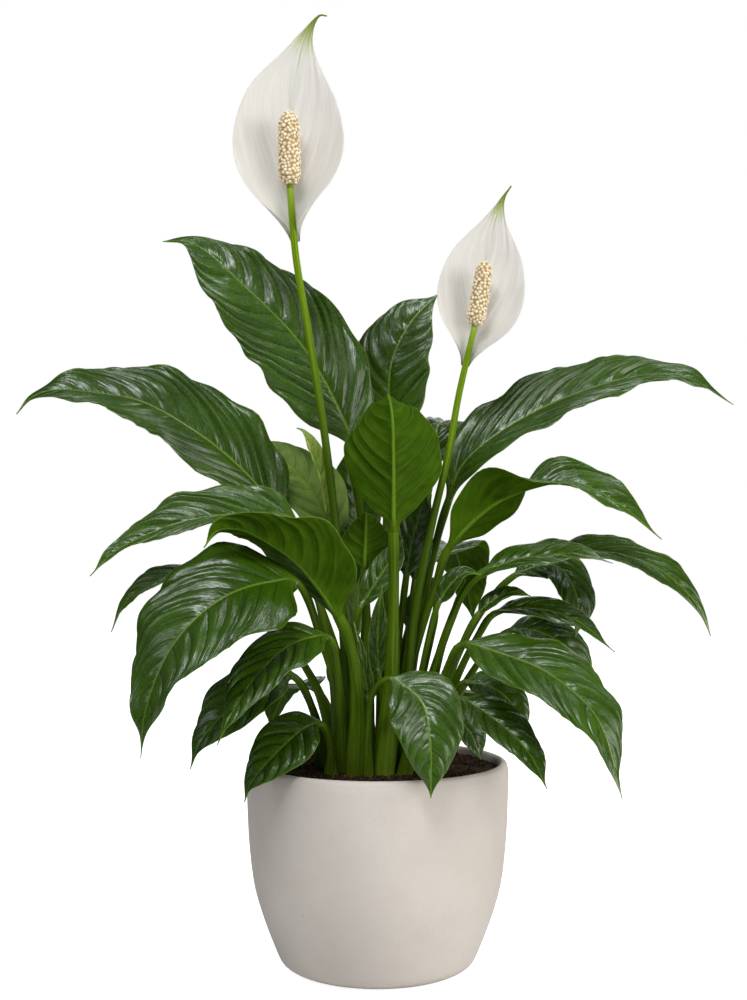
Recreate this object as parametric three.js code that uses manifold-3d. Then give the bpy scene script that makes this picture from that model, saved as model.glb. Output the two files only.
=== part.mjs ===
// Potted peace lily: a round stoneware pot, soil, long-stalked pointed leaves and two white flowers.
// Millimetres, +Z up. The origin is the centre of the pot's flat bottom, and -Y is the front.
import * as THREE from "three";
import Module from "manifold-3d";

const POT_HEIGHT = 164;
const POT_SIDES = 36;
const POT_WALL = 7;
const POT_FLOOR = 9;
const SOIL_TOP = 160;
const SOIL_CROWN = 2.5;
const SOIL_DROP = 2;
const SOIL_GAP = 0.8;
const SOIL_RINGS = 8;
const GRAIN = 1.1;
const STEM_DEPTH = 14;
const STEM_GAP = 0.4;
const HOLE_SIDES = 6;
const HOLE_ABOVE = 21.5;
const HOLE_BELOW = 14.5;
const ROUTE_STEPS = 60;
const BLADE = 0.85;
const FULLNESS = 0.8;
const DROOP = 0.1;
const MIDRIB = 0.9;
const WAVE_LENGTH = 62;
const WAVE_SHARE = 0.03;
const WAVE_MOST = 2.6;
const YOUNG_WAVE = 0.3;
const WAVE_TURN = 2.4;
const EDGE_TURN = 1.9;
const LEAF_TAIL = [0.8, 0.5];
const SIDE = 5;
const STALK_RINGS = 5;
const SHEATH = 0.1;
const SLIM_FROM = 0.8;
const RING_SPACING = 17;
const FEWEST_RINGS = 7;
const SCAPE_RINGS = 13;
const SPATHE_RINGS = 17;
const SPATHE_FULLNESS = 0.85;
const SPATHE_TAIL = [0.6, 0.7];
const SPATHE_HOLLOW = 70;
const SPADIX_SIDES = 16;
const SPADIX_RINGS = 15;
const SPADIX_GAP = 0.7;
const SPADIX_FOOT = 0.62;
const SPADIX_TAPER = 0.12;
const FLORET = 0.55;

// The pot's height and outer radius, from the flat bottom to the lip.
const POT_PROFILE = [
  [0, 50],
  [1, 56],
  [3, 63],
  [6, 69.5],
  [10, 74.2],
  [23, 80.2],
  [44, 88.1],
  [68, 95],
  [100, 99],
  [132, 100.6],
  [158, 100.9],
  [162.5, 99.7],
];

// The lip's height and radius, from its outer edge inwards.
const LIP_PROFILE = [
  [POT_HEIGHT, 97.5],
  [POT_HEIGHT, 95.8],
  [162.4, 94.2],
];

// Heights at which the pot's inner wall and the soil's side follow the outer wall.
const WALL_LEVELS = [132, 100, 68, 44, 23, 14];
const SOIL_EDGE_LEVEL = 158;
const FLOOR_RADIUS = 58;

// Each leaf: its stem's root and radius at the soil, points up the stalk, points along the midrib
// from the blade's base to its tip, the way the upper face looks at even steps from base to tip,
// the blade's greatest width and where along the blade that is, and how far the halves fold up in
// degrees at base and tip. A low value of full makes a broad base, and a young leaf is rolled up.
const LEAVES = [
  {
    name: "leaf_left_long", root: [-23, -3], stem: 5,
    stalk: [[-25, -5, 219], [-46, -1, 289]],
    rib: [
      [-70, 4, 346], [-114, 6, 398], [-178, 0, 440], [-216, -5, 448],
      [-246, -10, 450], [-264, -11, 444], [-276, -12, 431],
    ],
    face: [[0, -0.68, 0.73], [0, -0.6, 0.8]], width: 86, widest: 0.39, fold: [25, 16],
  },
  {
    name: "leaf_left_tall", root: [-8, 12], stem: 5.4,
    stalk: [[-9, 16, 272], [-14, 24, 365]],
    rib: [[-18, 28, 404], [-55, 40, 480], [-105, 52, 533], [-149, 62, 569], [-172, 66, 570]],
    face: [[0.15, -1, 0.35], [-0.2, -0.7, 0.8]], width: 84, widest: 0.4, fold: [10, 4], full: 0.68,
  },
  {
    name: "leaf_left_mid", root: [-30, -14], stem: 5,
    stalk: [[-31, -14, 213], [-45, -20, 290]],
    rib: [
      [-60, -32, 346], [-73, -35, 356], [-97, -41, 357],
      [-148, -52, 350], [-195, -60, 329], [-213, -65, 311],
    ],
    face: [[0, -0.56, 0.83], [0, -0.5, 0.85]], width: 57, widest: 0.36, fold: [32, 20],
  },
  {
    name: "leaf_left_back_low", root: [-32, 20], stem: 4.2,
    stalk: [[-47, 40, 213], [-86, 58, 267]],
    rib: [
      [-114, 64, 289], [-139, 68, 298], [-164, 70, 301],
      [-188, 70, 294], [-205, 70, 278], [-215, 70, 256],
    ],
    face: [[0, -0.1, 1], [-0.3, -0.5, 0.8]], width: 42, widest: 0.36, fold: [20, 13],
  },
  {
    name: "leaf_left_front_large", root: [-33, -27], stem: 5.2,
    stalk: [[-29, -34, 215], [-42, -42, 261]],
    rib: [
      [-59, -60, 305], [-79, -76, 308], [-114, -101, 297],
      [-146, -122, 266], [-164, -137, 221], [-167, -142, 188],
    ],
    face: [[-0.3, -0.82, 0.48], [-0.7, -0.7, 0.2]], width: 98, widest: 0.32, fold: [8, 6], full: 0.62,
  },
  {
    name: "leaf_left_front_mid", root: [-26, -36.5], stem: 4.6,
    stalk: [[-27, -43.5, 200], [-31, -54, 247]],
    rib: [[-36, -62, 265], [-60, -80, 264], [-87, -106, 243], [-107, -128, 212], [-114, -134, 196]],
    face: [[-0.3, -0.7, 0.6], [-0.6, -0.75, 0.2]], width: 52, widest: 0.36, fold: [8, 5],
  },
  {
    name: "leaf_left_low", root: [-42, -17], stem: 5,
    stalk: [[-45, -24, 193]],
    rib: [[-62, -34, 232], [-76, -40, 235], [-105, -55, 217], [-131, -67, 189], [-139, -70, 168]],
    face: [[-0.3, -0.6, 0.7], [-0.6, -0.75, 0.2]], width: 56, widest: 0.36, fold: [10, 6],
  },
  {
    name: "leaf_left_rim", root: [-35, -44], stem: 5,
    stalk: [[-35, -44, 180]],
    rib: [[-42, -52, 199], [-52, -58, 199], [-73, -72, 183], [-94, -82, 159], [-98, -84, 146]],
    face: [[-0.2, -0.75, 0.6], [-0.55, -0.8, 0.2]], width: 47, widest: 0.36, fold: [10, 6],
  },
  {
    name: "leaf_left_cup", root: [-16, -45], stem: 7.6,
    stalk: [[-15, -48, 206], [-19, -53, 251]],
    rib: [
      [-29, -57, 280], [-58, -66, 320], [-82, -74, 338],
      [-101, -82, 347], [-117, -84, 346], [-127, -86, 333],
    ],
    face: [[0.42, 0.8, 0.42], [0.2, 0.6, 0.8]], width: 80, widest: 0.34, fold: [36, 24],
  },
  {
    name: "leaf_left_back_mid", root: [-16, 22], stem: 4.4,
    stalk: [[-20, 24, 255]],
    rib: [[-33, 28, 330], [-45, 32, 361], [-59, 37, 382], [-87, 50, 406], [-100, 58, 408]],
    face: [[0.3, -0.9, 0.4], [0, -0.7, 0.7]], width: 52, widest: 0.4, fold: [14, 9],
  },
  {
    name: "leaf_centre_cup", root: [4.5, -45], stem: 7.4,
    stalk: [[10, -40, 223], [12, -38, 291]],
    rib: [[12, -37, 342], [12, -34, 396], [11, -26, 430], [8, -10, 445], [6, 6, 438], [5, 14, 424]],
    face: [[0, 1, 0.1], [0, 0.2, -1]], width: 82, widest: 0.42, fold: [12, 44], full: 1.3,
  },
  {
    name: "leaf_centre_back", root: [4, 33], stem: 4.8,
    stalk: [[12, 44, 253], [12, 56, 347]],
    rib: [[11, 62, 411], [11, 68, 472], [27, 74, 506], [49, 80, 529]],
    face: [[-0.1, -1, 0.2], [-0.3, -0.9, 0.4]], width: 66, widest: 0.42, fold: [12, 8], full: 0.7,
  },
  {
    name: "leaf_centre_low_cup", root: [-3, -11], stem: 5.2,
    stalk: [[-10, -8, 219], [-9, -6, 281]],
    rib: [[-10, -4, 312], [-9, 0, 342], [-9, 7, 355], [-10, 14, 351]],
    face: [[0, 1, 0.1], [0, 0.2, -1]], width: 40, widest: 0.4, fold: [10, 40],
  },
  {
    name: "leaf_centre_slant", root: [-11, -17], stem: 4,
    stalk: [[-15, -18, 220], [-17, -20, 270]],
    rib: [[-13, -19, 284], [2, -16, 308], [14, -13, 326], [19, -12, 336]],
    face: [[-0.3, -0.9, 0.2], [-0.3, -0.9, 0.3]], width: 24, widest: 0.5, fold: [14, 9],
  },
  {
    name: "leaf_back_left_upright", root: [-7, 34], stem: 4.4,
    stalk: [[-9, 50, 252]],
    rib: [[-12, 62, 315], [-20, 72, 371], [-24, 76, 389], [-25, 80, 403]],
    face: [[0.2, -0.9, 0.3], [0, -0.9, 0.3]], width: 40, widest: 0.45, fold: [10, 6],
  },
  {
    name: "leaf_back_right_small", root: [17, 30], stem: 4.2,
    stalk: [[24, 42, 253], [37, 56, 347]],
    rib: [[44, 62, 387], [49, 74, 423], [60, 104, 424], [73, 132, 393]],
    face: [[0, -0.8, 0.6], [0, 0.3, 0.95]], width: 46, widest: 0.4, fold: [10, 6],
  },
  {
    name: "leaf_right_long", root: [14, 9], stem: 5.4,
    stalk: [[27, 10, 241], [44, 12, 326]],
    rib: [[55, 13, 364], [68, 14, 395], [123, 18, 434], [195, 22, 460], [237, 24, 462], [279, 27, 439]],
    face: [[0, -0.58, 0.8], [0, -0.4, 0.9]], width: 70, widest: 0.42, fold: [24, 14],
  },
  {
    name: "leaf_right_mid", root: [14, -10], stem: 5.4,
    stalk: [[23, -12, 228], [45, -17, 303]],
    rib: [
      [54, -21, 329], [88, -27, 363], [120, -34, 377],
      [148, -40, 380], [179, -48, 365], [211, -59, 338],
    ],
    face: [
      [-0.2, 0.95, 0.2], [-0.1, 0.8, 0.5], [0, -0.35, 0.9], [0.1, -0.55, 0.8], [0.2, -0.6, 0.8],
    ],
    width: 60, widest: 0.38, fold: [27, 24],
  },
  {
    name: "leaf_right_bridge", root: [29, -13], stem: 5,
    stalk: [[41, -20, 222], [51, -24, 262], [66, -31, 298]],
    rib: [[79, -36, 312], [98, -40, 320], [118, -44, 325], [150, -50, 327], [176, -52, 320]],
    face: [[0, -0.5, 0.85], [0, -0.3, 0.95]], width: 40, widest: 0.42, fold: [18, 10],
  },
  {
    name: "leaf_right_reach", root: [26, 0], stem: 5,
    stalk: [[39, -2, 219], [57, -5, 273]],
    rib: [
      [69, -2, 299], [93, -1, 313], [124, -2, 318], [163, -6, 327],
      [212, -18, 315], [244, -28, 284], [252, -32, 263],
    ],
    face: [[-0.1, 0.5, 0.85], [0, -0.35, 0.9], [0.2, -0.6, 0.75]], width: 46, widest: 0.42, fold: [20, 12],
  },
  {
    name: "leaf_right_hook", root: [36, 11], stem: 4.4,
    stalk: [[61, 17, 240], [89, 26, 287]],
    rib: [[107, 32, 304], [125, 35, 312], [142, 33, 312], [156, 20, 289], [154, 8, 258]],
    face: [[0, -0.5, 0.85], [0.7, -0.7, 0.1]], width: 42, widest: 0.44, fold: [14, 9],
  },
  {
    name: "leaf_right_low_reach", root: [39, -6], stem: 4.6,
    stalk: [[57, -10, 220], [77, -14, 262]],
    rib: [[89, -17, 279], [119, -24, 284], [151, -32, 275], [179, -41, 252]],
    face: [[0, -0.4, 0.9], [0.2, -0.5, 0.8]], width: 32, widest: 0.36, fold: [16, 10],
  },
  {
    name: "leaf_right_low_back", root: [34, 22], stem: 4.6,
    stalk: [[61, 24, 208], [87, 26, 247]],
    rib: [[102, 26, 261], [121, 24, 263], [153, 16, 246], [170, 9, 213]],
    face: [[0, -0.5, 0.85], [0.5, -0.7, 0.4]], width: 42, widest: 0.36, fold: [12, 8],
  },
  {
    name: "leaf_right_front_large", root: [31, -32], stem: 5.2,
    stalk: [[41, -38, 207], [54, -44, 244]],
    rib: [[62, -49, 258], [93, -70, 254], [127, -96, 241], [157, -120, 213], [173, -136, 158]],
    face: [[0.2, -0.65, 0.7], [0.6, -0.75, 0.3]], width: 64, widest: 0.38, fold: [10, 6],
  },
  {
    name: "leaf_right_low_mid", root: [46, -22], stem: 4.6,
    stalk: [[52, -22, 201], [59, -23, 221]],
    rib: [[66, -24, 227], [90, -32, 223], [108, -40, 204], [112, -44, 192]],
    face: [[0.2, -0.6, 0.75], [0.5, -0.75, 0.4]], width: 36, widest: 0.4, fold: [14, 9],
  },
  {
    name: "leaf_right_low_front", root: [20, -45], stem: 5.4,
    stalk: [[28, -48, 188], [46, -56, 211]],
    rib: [[61, -60, 219], [87, -78, 206], [109, -98, 186], [122, -112, 161]],
    face: [[0.2, -0.7, 0.7], [0.6, -0.75, 0.3]], width: 40, widest: 0.38, fold: [12, 8],
  },
  {
    name: "leaf_right_rim", root: [49, 5], stem: 3.8,
    stalk: [[54, 3, 183]],
    rib: [[60, 2, 195], [71, -2, 187], [80, -7, 165]],
    face: [[0.3, -0.7, 0.6], [0.7, -0.7, 0.1]], width: 28, widest: 0.4, fold: [14, 9],
  },
  {
    name: "leaf_front_rim", root: [-7, -53.2], stem: 3.6,
    stalk: [[-7, -57, 190], [-3, -66, 226]],
    rib: [[8, -73, 236], [20, -81, 232], [33, -93, 220], [38, -107, 193], [38, -115, 155]],
    face: [[0.1, -0.8, 0.6], [0.05, -1, 0.1]], width: 54, widest: 0.4, fold: [8, 5],
  },
  {
    name: "leaf_back_long", root: [4, 46], stem: 5,
    stalk: [[5, 62, 243], [7, 90, 330]],
    rib: [[8, 112, 370], [10, 162, 402], [10, 214, 379], [8, 232, 350]],
    face: [[0, 0.1, 1], [0, 0.6, 0.7]], width: 70, widest: 0.38, fold: [16, 10],
  },
  {
    name: "leaf_back_left_long", root: [-22, 38], stem: 5,
    stalk: [[-20, 58, 235], [-32, 84, 289]],
    rib: [[-39, 102, 313], [-58, 148, 327], [-78, 184, 287], [-86, 194, 255]],
    face: [[-0.1, 0.1, 1], [-0.4, 0.6, 0.6]], width: 66, widest: 0.38, fold: [16, 10],
  },
  {
    name: "leaf_back_right_long", root: [26, 40], stem: 5,
    stalk: [[25, 58, 235], [38, 84, 289]],
    rib: [[45, 102, 311], [63, 148, 322], [78, 180, 282], [84, 190, 252]],
    face: [[0.1, 0.1, 1], [0.4, 0.6, 0.6]], width: 62, widest: 0.38, fold: [16, 10],
  },
  {
    name: "leaf_back_low", root: [-9, 50], stem: 4.8,
    stalk: [[-9, 72, 191]],
    rib: [[-13, 92, 215], [-16, 134, 223], [-19, 176, 160]],
    face: [[0, 0.1, 1], [-0.1, 0.8, 0.5]], width: 56, widest: 0.38, fold: [14, 9],
  },
  {
    name: "leaf_back_low_left", root: [-36, 34], stem: 4.4,
    stalk: [[-38, 56, 194]],
    rib: [[-50, 76, 209], [-74, 112, 206], [-92, 136, 169]],
    face: [[-0.2, 0, 1], [-0.5, 0.6, 0.6]], width: 52, widest: 0.38, fold: [14, 9],
  },
  {
    name: "leaf_back_low_right", root: [40, 36], stem: 4.4,
    stalk: [[38, 56, 192]],
    rib: [[46, 76, 207], [69, 112, 201], [85, 136, 162]],
    face: [[0.2, 0, 1], [0.5, 0.6, 0.6]], width: 50, widest: 0.38, fold: [14, 9],
  },
  {
    name: "leaf_back_inner", root: [14, 20], stem: 4.6,
    stalk: [[18, 24, 230]],
    rib: [[24, 26, 262], [34, 30, 290], [46, 34, 302], [60, 38, 296]],
    face: [[-0.1, -0.3, 0.9], [0.1, 0.2, 1]], width: 30, widest: 0.4, fold: [14, 9],
  },
  {
    name: "leaf_centre_right_inner", root: [3, 0], stem: 4.4,
    stalk: [[12, -1, 222], [20, -1, 290]],
    rib: [[22, -4, 306], [26, -2, 332], [33, 0, 356], [38, 2, 372]],
    face: [[-0.3, -0.95, 0.1], [-0.3, -0.95, 0.2]], width: 32, widest: 0.42, fold: [14, 8],
  },
  {
    name: "leaf_right_inner_small", root: [25, 12], stem: 3.8,
    stalk: [[34, 6, 222], [44, 0, 270]],
    rib: [[46, 0, 288], [51, -2, 296], [57, -3, 298], [61, -3, 294]],
    face: [[0, -0.6, 0.8], [0.2, -0.5, 0.8]], width: 16, widest: 0.42, fold: [14, 8],
  },
  {
    name: "leaf_inner_pointed", root: [-6, -29], stem: 5,
    stalk: [[-6, -31, 196]],
    rib: [[-7, -32, 212], [-9, -33, 234], [-13, -33, 256], [-18, -33, 275]],
    face: [[0, -1, 0.1], [0, -1, 0.2]], width: 13, widest: 0.3, fold: [40, 26],
  },
  {
    name: "leaf_inner_narrow", root: [6, -22], stem: 4.2,
    stalk: [[3, -24, 212]],
    rib: [[1, -24, 232], [0, -25, 258], [1, -26, 282], [4, -26, 302]],
    face: [[0.2, -1, 0.1], [0.2, -1, 0.2]], width: 19, widest: 0.35, fold: [34, 22],
  },
  {
    name: "leaf_inner_pale", root: [-12, -3], stem: 3.4,
    stalk: [[-17, 1, 222]],
    rib: [[-17, 3, 254], [-18, 7, 296], [-19, 10, 328], [-19, 13, 350]],
    face: [[0.3, -1, 0.2], [0.3, -1, 0.2]], width: 17, widest: 0.4, fold: [24, 16],
  },
  {
    name: "leaf_right_inner_tall", root: [15, 0], stem: 3.4,
    stalk: [[21.5, 0, 235]],
    rib: [[29, -1, 300], [33, 1, 330], [37, 4, 354], [42, 8, 370]],
    face: [[-0.2, -1, 0.2], [-0.2, -1, 0.3]], width: 20, widest: 0.4, fold: [20, 12],
  },
  {
    name: "leaf_right_inner_low", root: [24, -22], stem: 3.6,
    stalk: [[31, -25, 222], [40, -30, 268]],
    rib: [[46, -33, 288], [55, -36, 303], [66, -39, 312], [78, -42, 311]],
    face: [[0, -0.6, 0.8], [0.2, -0.5, 0.8]], width: 20, widest: 0.4, fold: [18, 12],
  },
  {
    name: "leaf_right_inner_front", root: [35.5, -21.5], stem: 3.6,
    stalk: [[50, -27, 222], [66, -30, 262]],
    rib: [[76, -31, 280], [88, -31, 291], [102, -32, 297], [116, -33, 294]],
    face: [[0, -0.4, 0.9], [0.2, -0.5, 0.8]], width: 20, widest: 0.4, fold: [18, 12],
  },
  {
    name: "leaf_furled_young", root: [-20, 9], stem: 3.2,
    stalk: [[-21, 6, 225], [-34, 0, 319]],
    rib: [[-38, -3, 352], [-47, -5, 391], [-57, -7, 418], [-62, -9, 421]],
    face: [[0.7, -0.7, 0.3], [0.7, -0.7, 0.3]], width: 26, widest: 0.42, fold: [58, 38], young: true,
  },
];

// Each flower: its scape's root, points up the scape to the foot of the spadix, the spadix's top,
// and the spathe's midrib, width and widest place.
const FLOWERS = [
  {
    name: "tall", root: [-19, -26], stem: 3.6, top: 2.6,
    scape: [
      [-27, -20, 277], [-32, -16, 345], [-41, -12, 420],
      [-53, -8, 495], [-62.5, -6, 552], [-67, -5, 606],
    ],
    spadixTop: [-68, -5, 662], spadix: 8.5,
    rib: [
      [-62.7, 1.6, 563], [-65.3, 2, 577], [-67.6, 4.6, 602], [-66.8, 15, 668],
      [-58, 14, 714], [-53.5, 12, 725], [-48, 10, 734], [-44, 9, 737.5], [-39, 7, 736.5],
    ],
    face: [[0, -1, 0], [0, -1, 0.1]], width: 92, widest: 0.38,
  },
  {
    name: "short", root: [18, -27], stem: 3.8, top: 2.3,
    scape: [[28, -22, 275], [41, -15, 345], [54, -10, 400], [62, -6, 445], [74.5, -4, 499]],
    spadixTop: [82.5, -4, 548], spadix: 6.8,
    rib: [
      [67, 0, 468], [70, 1, 480], [75, 5, 502], [84, 14, 548],
      [92, 13, 584], [97, 11, 598], [103, 9, 607],
    ],
    face: [[0, -1, 0], [0, -1, 0.1]], width: 70, widest: 0.38,
  },
];

const GREEN = new THREE.MeshStandardMaterial({ name: "leaf green", color: 0x2c4213 });
const YOUNG_GREEN = new THREE.MeshStandardMaterial({ name: "young leaf green", color: 0x6a8a3c });
const STALK_GREEN = new THREE.MeshStandardMaterial({ name: "scape green", color: 0x617d18 });
const WHITE = new THREE.MeshStandardMaterial({ name: "spathe white", color: 0xdfdcd3 });
const CREAM = new THREE.MeshStandardMaterial({ name: "spadix cream", color: 0xc9b592 });
const STONEWARE = new THREE.MeshStandardMaterial({ name: "matte stoneware", color: 0xcac2bb });
const EARTH = new THREE.MeshStandardMaterial({ name: "potting soil", color: 0x130e09 });

const wasm = await Module();
wasm.setup();

function smooth(from, to, x) {
  const k = Math.min(Math.max((x - from) / (to - from), 0), 1);
  return k * k * (3 - 2 * k);
}

function mix(a, b, k) {
  return a + (b - a) * k;
}

function vector(point) {
  return new THREE.Vector3(...point);
}

function indexed(vertices, faces) {
  const geometry = new THREE.BufferGeometry();
  const flat = vertices.flatMap((v) => [v.x, v.y, v.z]);
  geometry.setAttribute("position", new THREE.Float32BufferAttribute(flat, 3));
  geometry.setIndex(faces.flat());
  return geometry;
}

// A route through points, measured by arc length.
function route(points) {
  const curve = new THREE.CatmullRomCurve3(points, false, "centripetal");
  const steps = ROUTE_STEPS * (points.length - 1);
  const fine = curve.getPoints(steps);
  const reach = [0];
  for (let i = 1; i <= steps; i += 1) {
    reach.push(reach[i - 1] + fine[i].distanceTo(fine[i - 1]));
  }
  const at = (length) => {
    let i = 1;
    while (i < steps && reach[i] < length) {
      i += 1;
    }
    const k = (length - reach[i - 1]) / (reach[i] - reach[i - 1]);
    return fine[i - 1].clone().lerp(fine[i], k);
  };
  const along = (length) => {
    const ahead = at(Math.min(length + 1, reach[steps]));
    return ahead.sub(at(Math.max(length - 1, 0))).normalize();
  };
  return { at, along, total: reach[steps], reached: (index) => reach[ROUTE_STEPS * index] };
}

// Where a stem ends under the soil, straight back from its first stretch.
function stemEnd(root, next) {
  const lean = root.clone().sub(next);
  return root.clone().addScaledVector(lean, STEM_DEPTH / lean.length());
}

// A closed skin over rings that each run along the top side, then back along the underside.
// Both sides are split the same way, so that the skin stays as thick between rings as on them.
function skin(rings) {
  const count = 2 * SIDE;
  const faces = [];
  for (let i = 0; i + 1 < rings.length; i += 1) {
    const a = i * count;
    const b = a + count;
    for (let j = 0; j < count; j += 1) {
      const k = (j + 1) % count;
      if (j < SIDE) {
        faces.push([a + j, a + k, b + k], [a + j, b + k, b + j]);
      } else {
        faces.push([a + j, a + k, b + j], [a + k, b + k, b + j]);
      }
    }
  }
  const last = (rings.length - 1) * count;
  for (let j = 0; j + 1 < SIDE; j += 1) {
    const under = count - 1 - j;
    faces.push([j, under - 1, j + 1], [j, under, under - 1]);
    faces.push([last + j, last + j + 1, last + under - 1], [last + j, last + under - 1, last + under]);
  }
  return indexed(rings.flat(), faces);
}

// One ring: a round stem section turned by degrees (blend 0 to 1) into a thin blade section.
function ring(place, across, normal, round, blend, sheet) {
  const points = [];
  for (let j = 0; j < 2 * SIDE; j += 1) {
    const top = j < SIDE;
    const side = top ? j : 2 * SIDE - 1 - j;
    const s = (2 * side) / (SIDE - 1) - 1;
    const angle = Math.PI * (top ? 1 - (side + 0.5) / SIDE : 1 + (side + 0.5) / SIDE);
    const flat = sheet(s, top);
    const u = mix(round * Math.cos(angle), flat[0], blend);
    const v = mix(round * Math.sin(angle), flat[1], blend);
    points.push(place.clone().addScaledVector(across, u).addScaledVector(normal, v));
  }
  return points;
}

// A thin sheet section: the top side follows a curve, and the underside lies a blade's thickness
// below it, square to the curve, with a rib under the middle.
function sheet(curve, rib) {
  return (s, top) => {
    const here = curve(s);
    if (top) {
      return here;
    }
    const before = curve(s - 0.02);
    const after = curve(s + 0.02);
    const slope = Math.atan2(after[1] - before[1], after[0] - before[0]);
    const thick = BLADE + (s === 0 ? rib : 0);
    return [here[0] + thick * Math.sin(slope), here[1] - thick * Math.cos(slope)];
  };
}

// How wide a blade is at t, from 0 at its base to 1 at its tip, as a share of its greatest width.
// From the tail's start on, it is pinched by up to the tail's share.
function spread(t, widest, base, [start, pinch]) {
  const tip = (base * (1 - widest)) / widest;
  const tail = 1 - pinch * smooth(start, 1, t);
  return tail * (t / widest) ** base * ((1 - t) / (1 - widest)) ** tip;
}

// The way a face looks at one place, made square to the path there, and the way across it.
// It goes through the given ways at even steps of t.
function facing(path, stop, faces, t) {
  const along = path.along(stop);
  const last = faces.length - 2;
  const step = Math.min(Math.floor(t * (last + 1)), last);
  const face = faces[step].clone().lerp(faces[step + 1], t * (last + 1) - step);
  const normal = face.addScaledVector(along, -face.dot(along)).normalize();
  return { normal, across: new THREE.Vector3().crossVectors(along, normal) };
}

function leaf(spec, index) {
  const root = new THREE.Vector3(spec.root[0], spec.root[1], SOIL_TOP);
  const stalk = spec.stalk.map(vector);
  const path = route([stemEnd(root, stalk[0]), root, ...stalk, ...spec.rib.map(vector)]);
  const ground = path.reached(1);
  const base = path.reached(2 + stalk.length);
  const blade = path.total - base;
  const slim = 0.5 * spec.stem + 0.3;
  const faces = spec.face.map(vector);
  const rows = Math.max(FEWEST_RINGS, Math.round(blade / RING_SPACING));
  const stops = [0];
  for (let i = 0; i < STALK_RINGS; i += 1) {
    stops.push(mix(ground, base, i / STALK_RINGS));
  }
  for (let i = 0; i <= rows; i += 1) {
    stops.push(base + (i / rows) * (blade - 0.5));
  }
  const wave = spec.young ? YOUNG_WAVE : Math.min(WAVE_SHARE * spec.width, WAVE_MOST);
  const fold = spec.fold.map(THREE.MathUtils.degToRad);
  const rings = stops.map((stop) => {
    const t = Math.max((stop - base) / blade, 0);
    const { normal, across } = facing(path, stop, faces, t);
    const bare = mix(spec.stem, slim, smooth(SHEATH, SLIM_FROM, stop / base));
    const round = mix(bare, 0.6, smooth(0, 0.6, t));
    const share = spread(Math.max(t, 1e-6), spec.widest, spec.full ?? FULLNESS, LEAF_TAIL);
    const half = Math.hypot(0.5 * spec.width * share, mix(round, 0.4, t));
    const ripple = wave * smooth(0, 0.3, t) * smooth(0, 0.15, 1 - t);
    const turned = (2 * Math.PI * t * blade) / WAVE_LENGTH + WAVE_TURN * index;
    const open = mix(fold[0], fold[1], t);
    const curve = (s) => {
      const lift = Math.abs(s) * half * Math.sin(open) - DROOP * half * s * s;
      const swell = ripple * s * s * Math.sin(turned + (s > 0 ? 0 : EDGE_TURN));
      return [s * half * Math.cos(open), lift + swell];
    };
    const rib = mix(MIDRIB * slim, 0.1, Math.sqrt(t));
    const blend = t > 0 ? smooth(-0.02, 0.13, t) : 0;
    return ring(path.at(stop), across, normal, round, blend, sheet(curve, rib));
  });
  return mesh(spec.name, skin(rings), spec.young ? YOUNG_GREEN : GREEN);
}

function scape(flower) {
  const root = new THREE.Vector3(flower.root[0], flower.root[1], SOIL_TOP);
  const points = flower.scape.map(vector);
  const path = route([stemEnd(root, points[0]), root, ...points]);
  const front = [new THREE.Vector3(0, -1, 0), new THREE.Vector3(0, -1, 0)];
  const rings = [];
  for (let i = 0; i <= SCAPE_RINGS; i += 1) {
    const t = i / SCAPE_RINGS;
    const { normal, across } = facing(path, t * path.total, front, t);
    const radius = mix(flower.stem, flower.top, t);
    rings.push(ring(path.at(t * path.total), across, normal, radius, 0, () => [0, 0]));
  }
  return mesh(`scape_${flower.name}`, skin(rings), STALK_GREEN);
}

// A spathe clasps the scape at its foot and opens into a shallow hollow blade.
function spathe(flower) {
  const path = route(flower.rib.map(vector));
  const faces = flower.face.map(vector);
  const rings = [];
  for (let i = 0; i <= SPATHE_RINGS; i += 1) {
    const t = i / SPATHE_RINGS;
    const { normal, across } = facing(path, t * path.total, faces, t);
    const reach = Math.min(Math.max(t, 1e-6), 0.995);
    const share = spread(reach, flower.widest, SPATHE_FULLNESS, SPATHE_TAIL);
    const half = Math.hypot(0.5 * flower.width * share, mix(flower.top + 1, 0.6, smooth(0, 0.4, t)));
    const hollow = mix(flower.top + 0.9, SPATHE_HOLLOW, smooth(0, 0.45, t));
    const curve = (s) => {
      const turn = (s * half) / hollow;
      return [hollow * Math.sin(turn), hollow * (1 - Math.cos(turn))];
    };
    rings.push(ring(path.at(t * path.total), across, normal, 0.6, 1, sheet(curve, mix(0.5, 0, t))));
  }
  return mesh(`spathe_${flower.name}`, skin(rings), WHITE);
}

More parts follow.
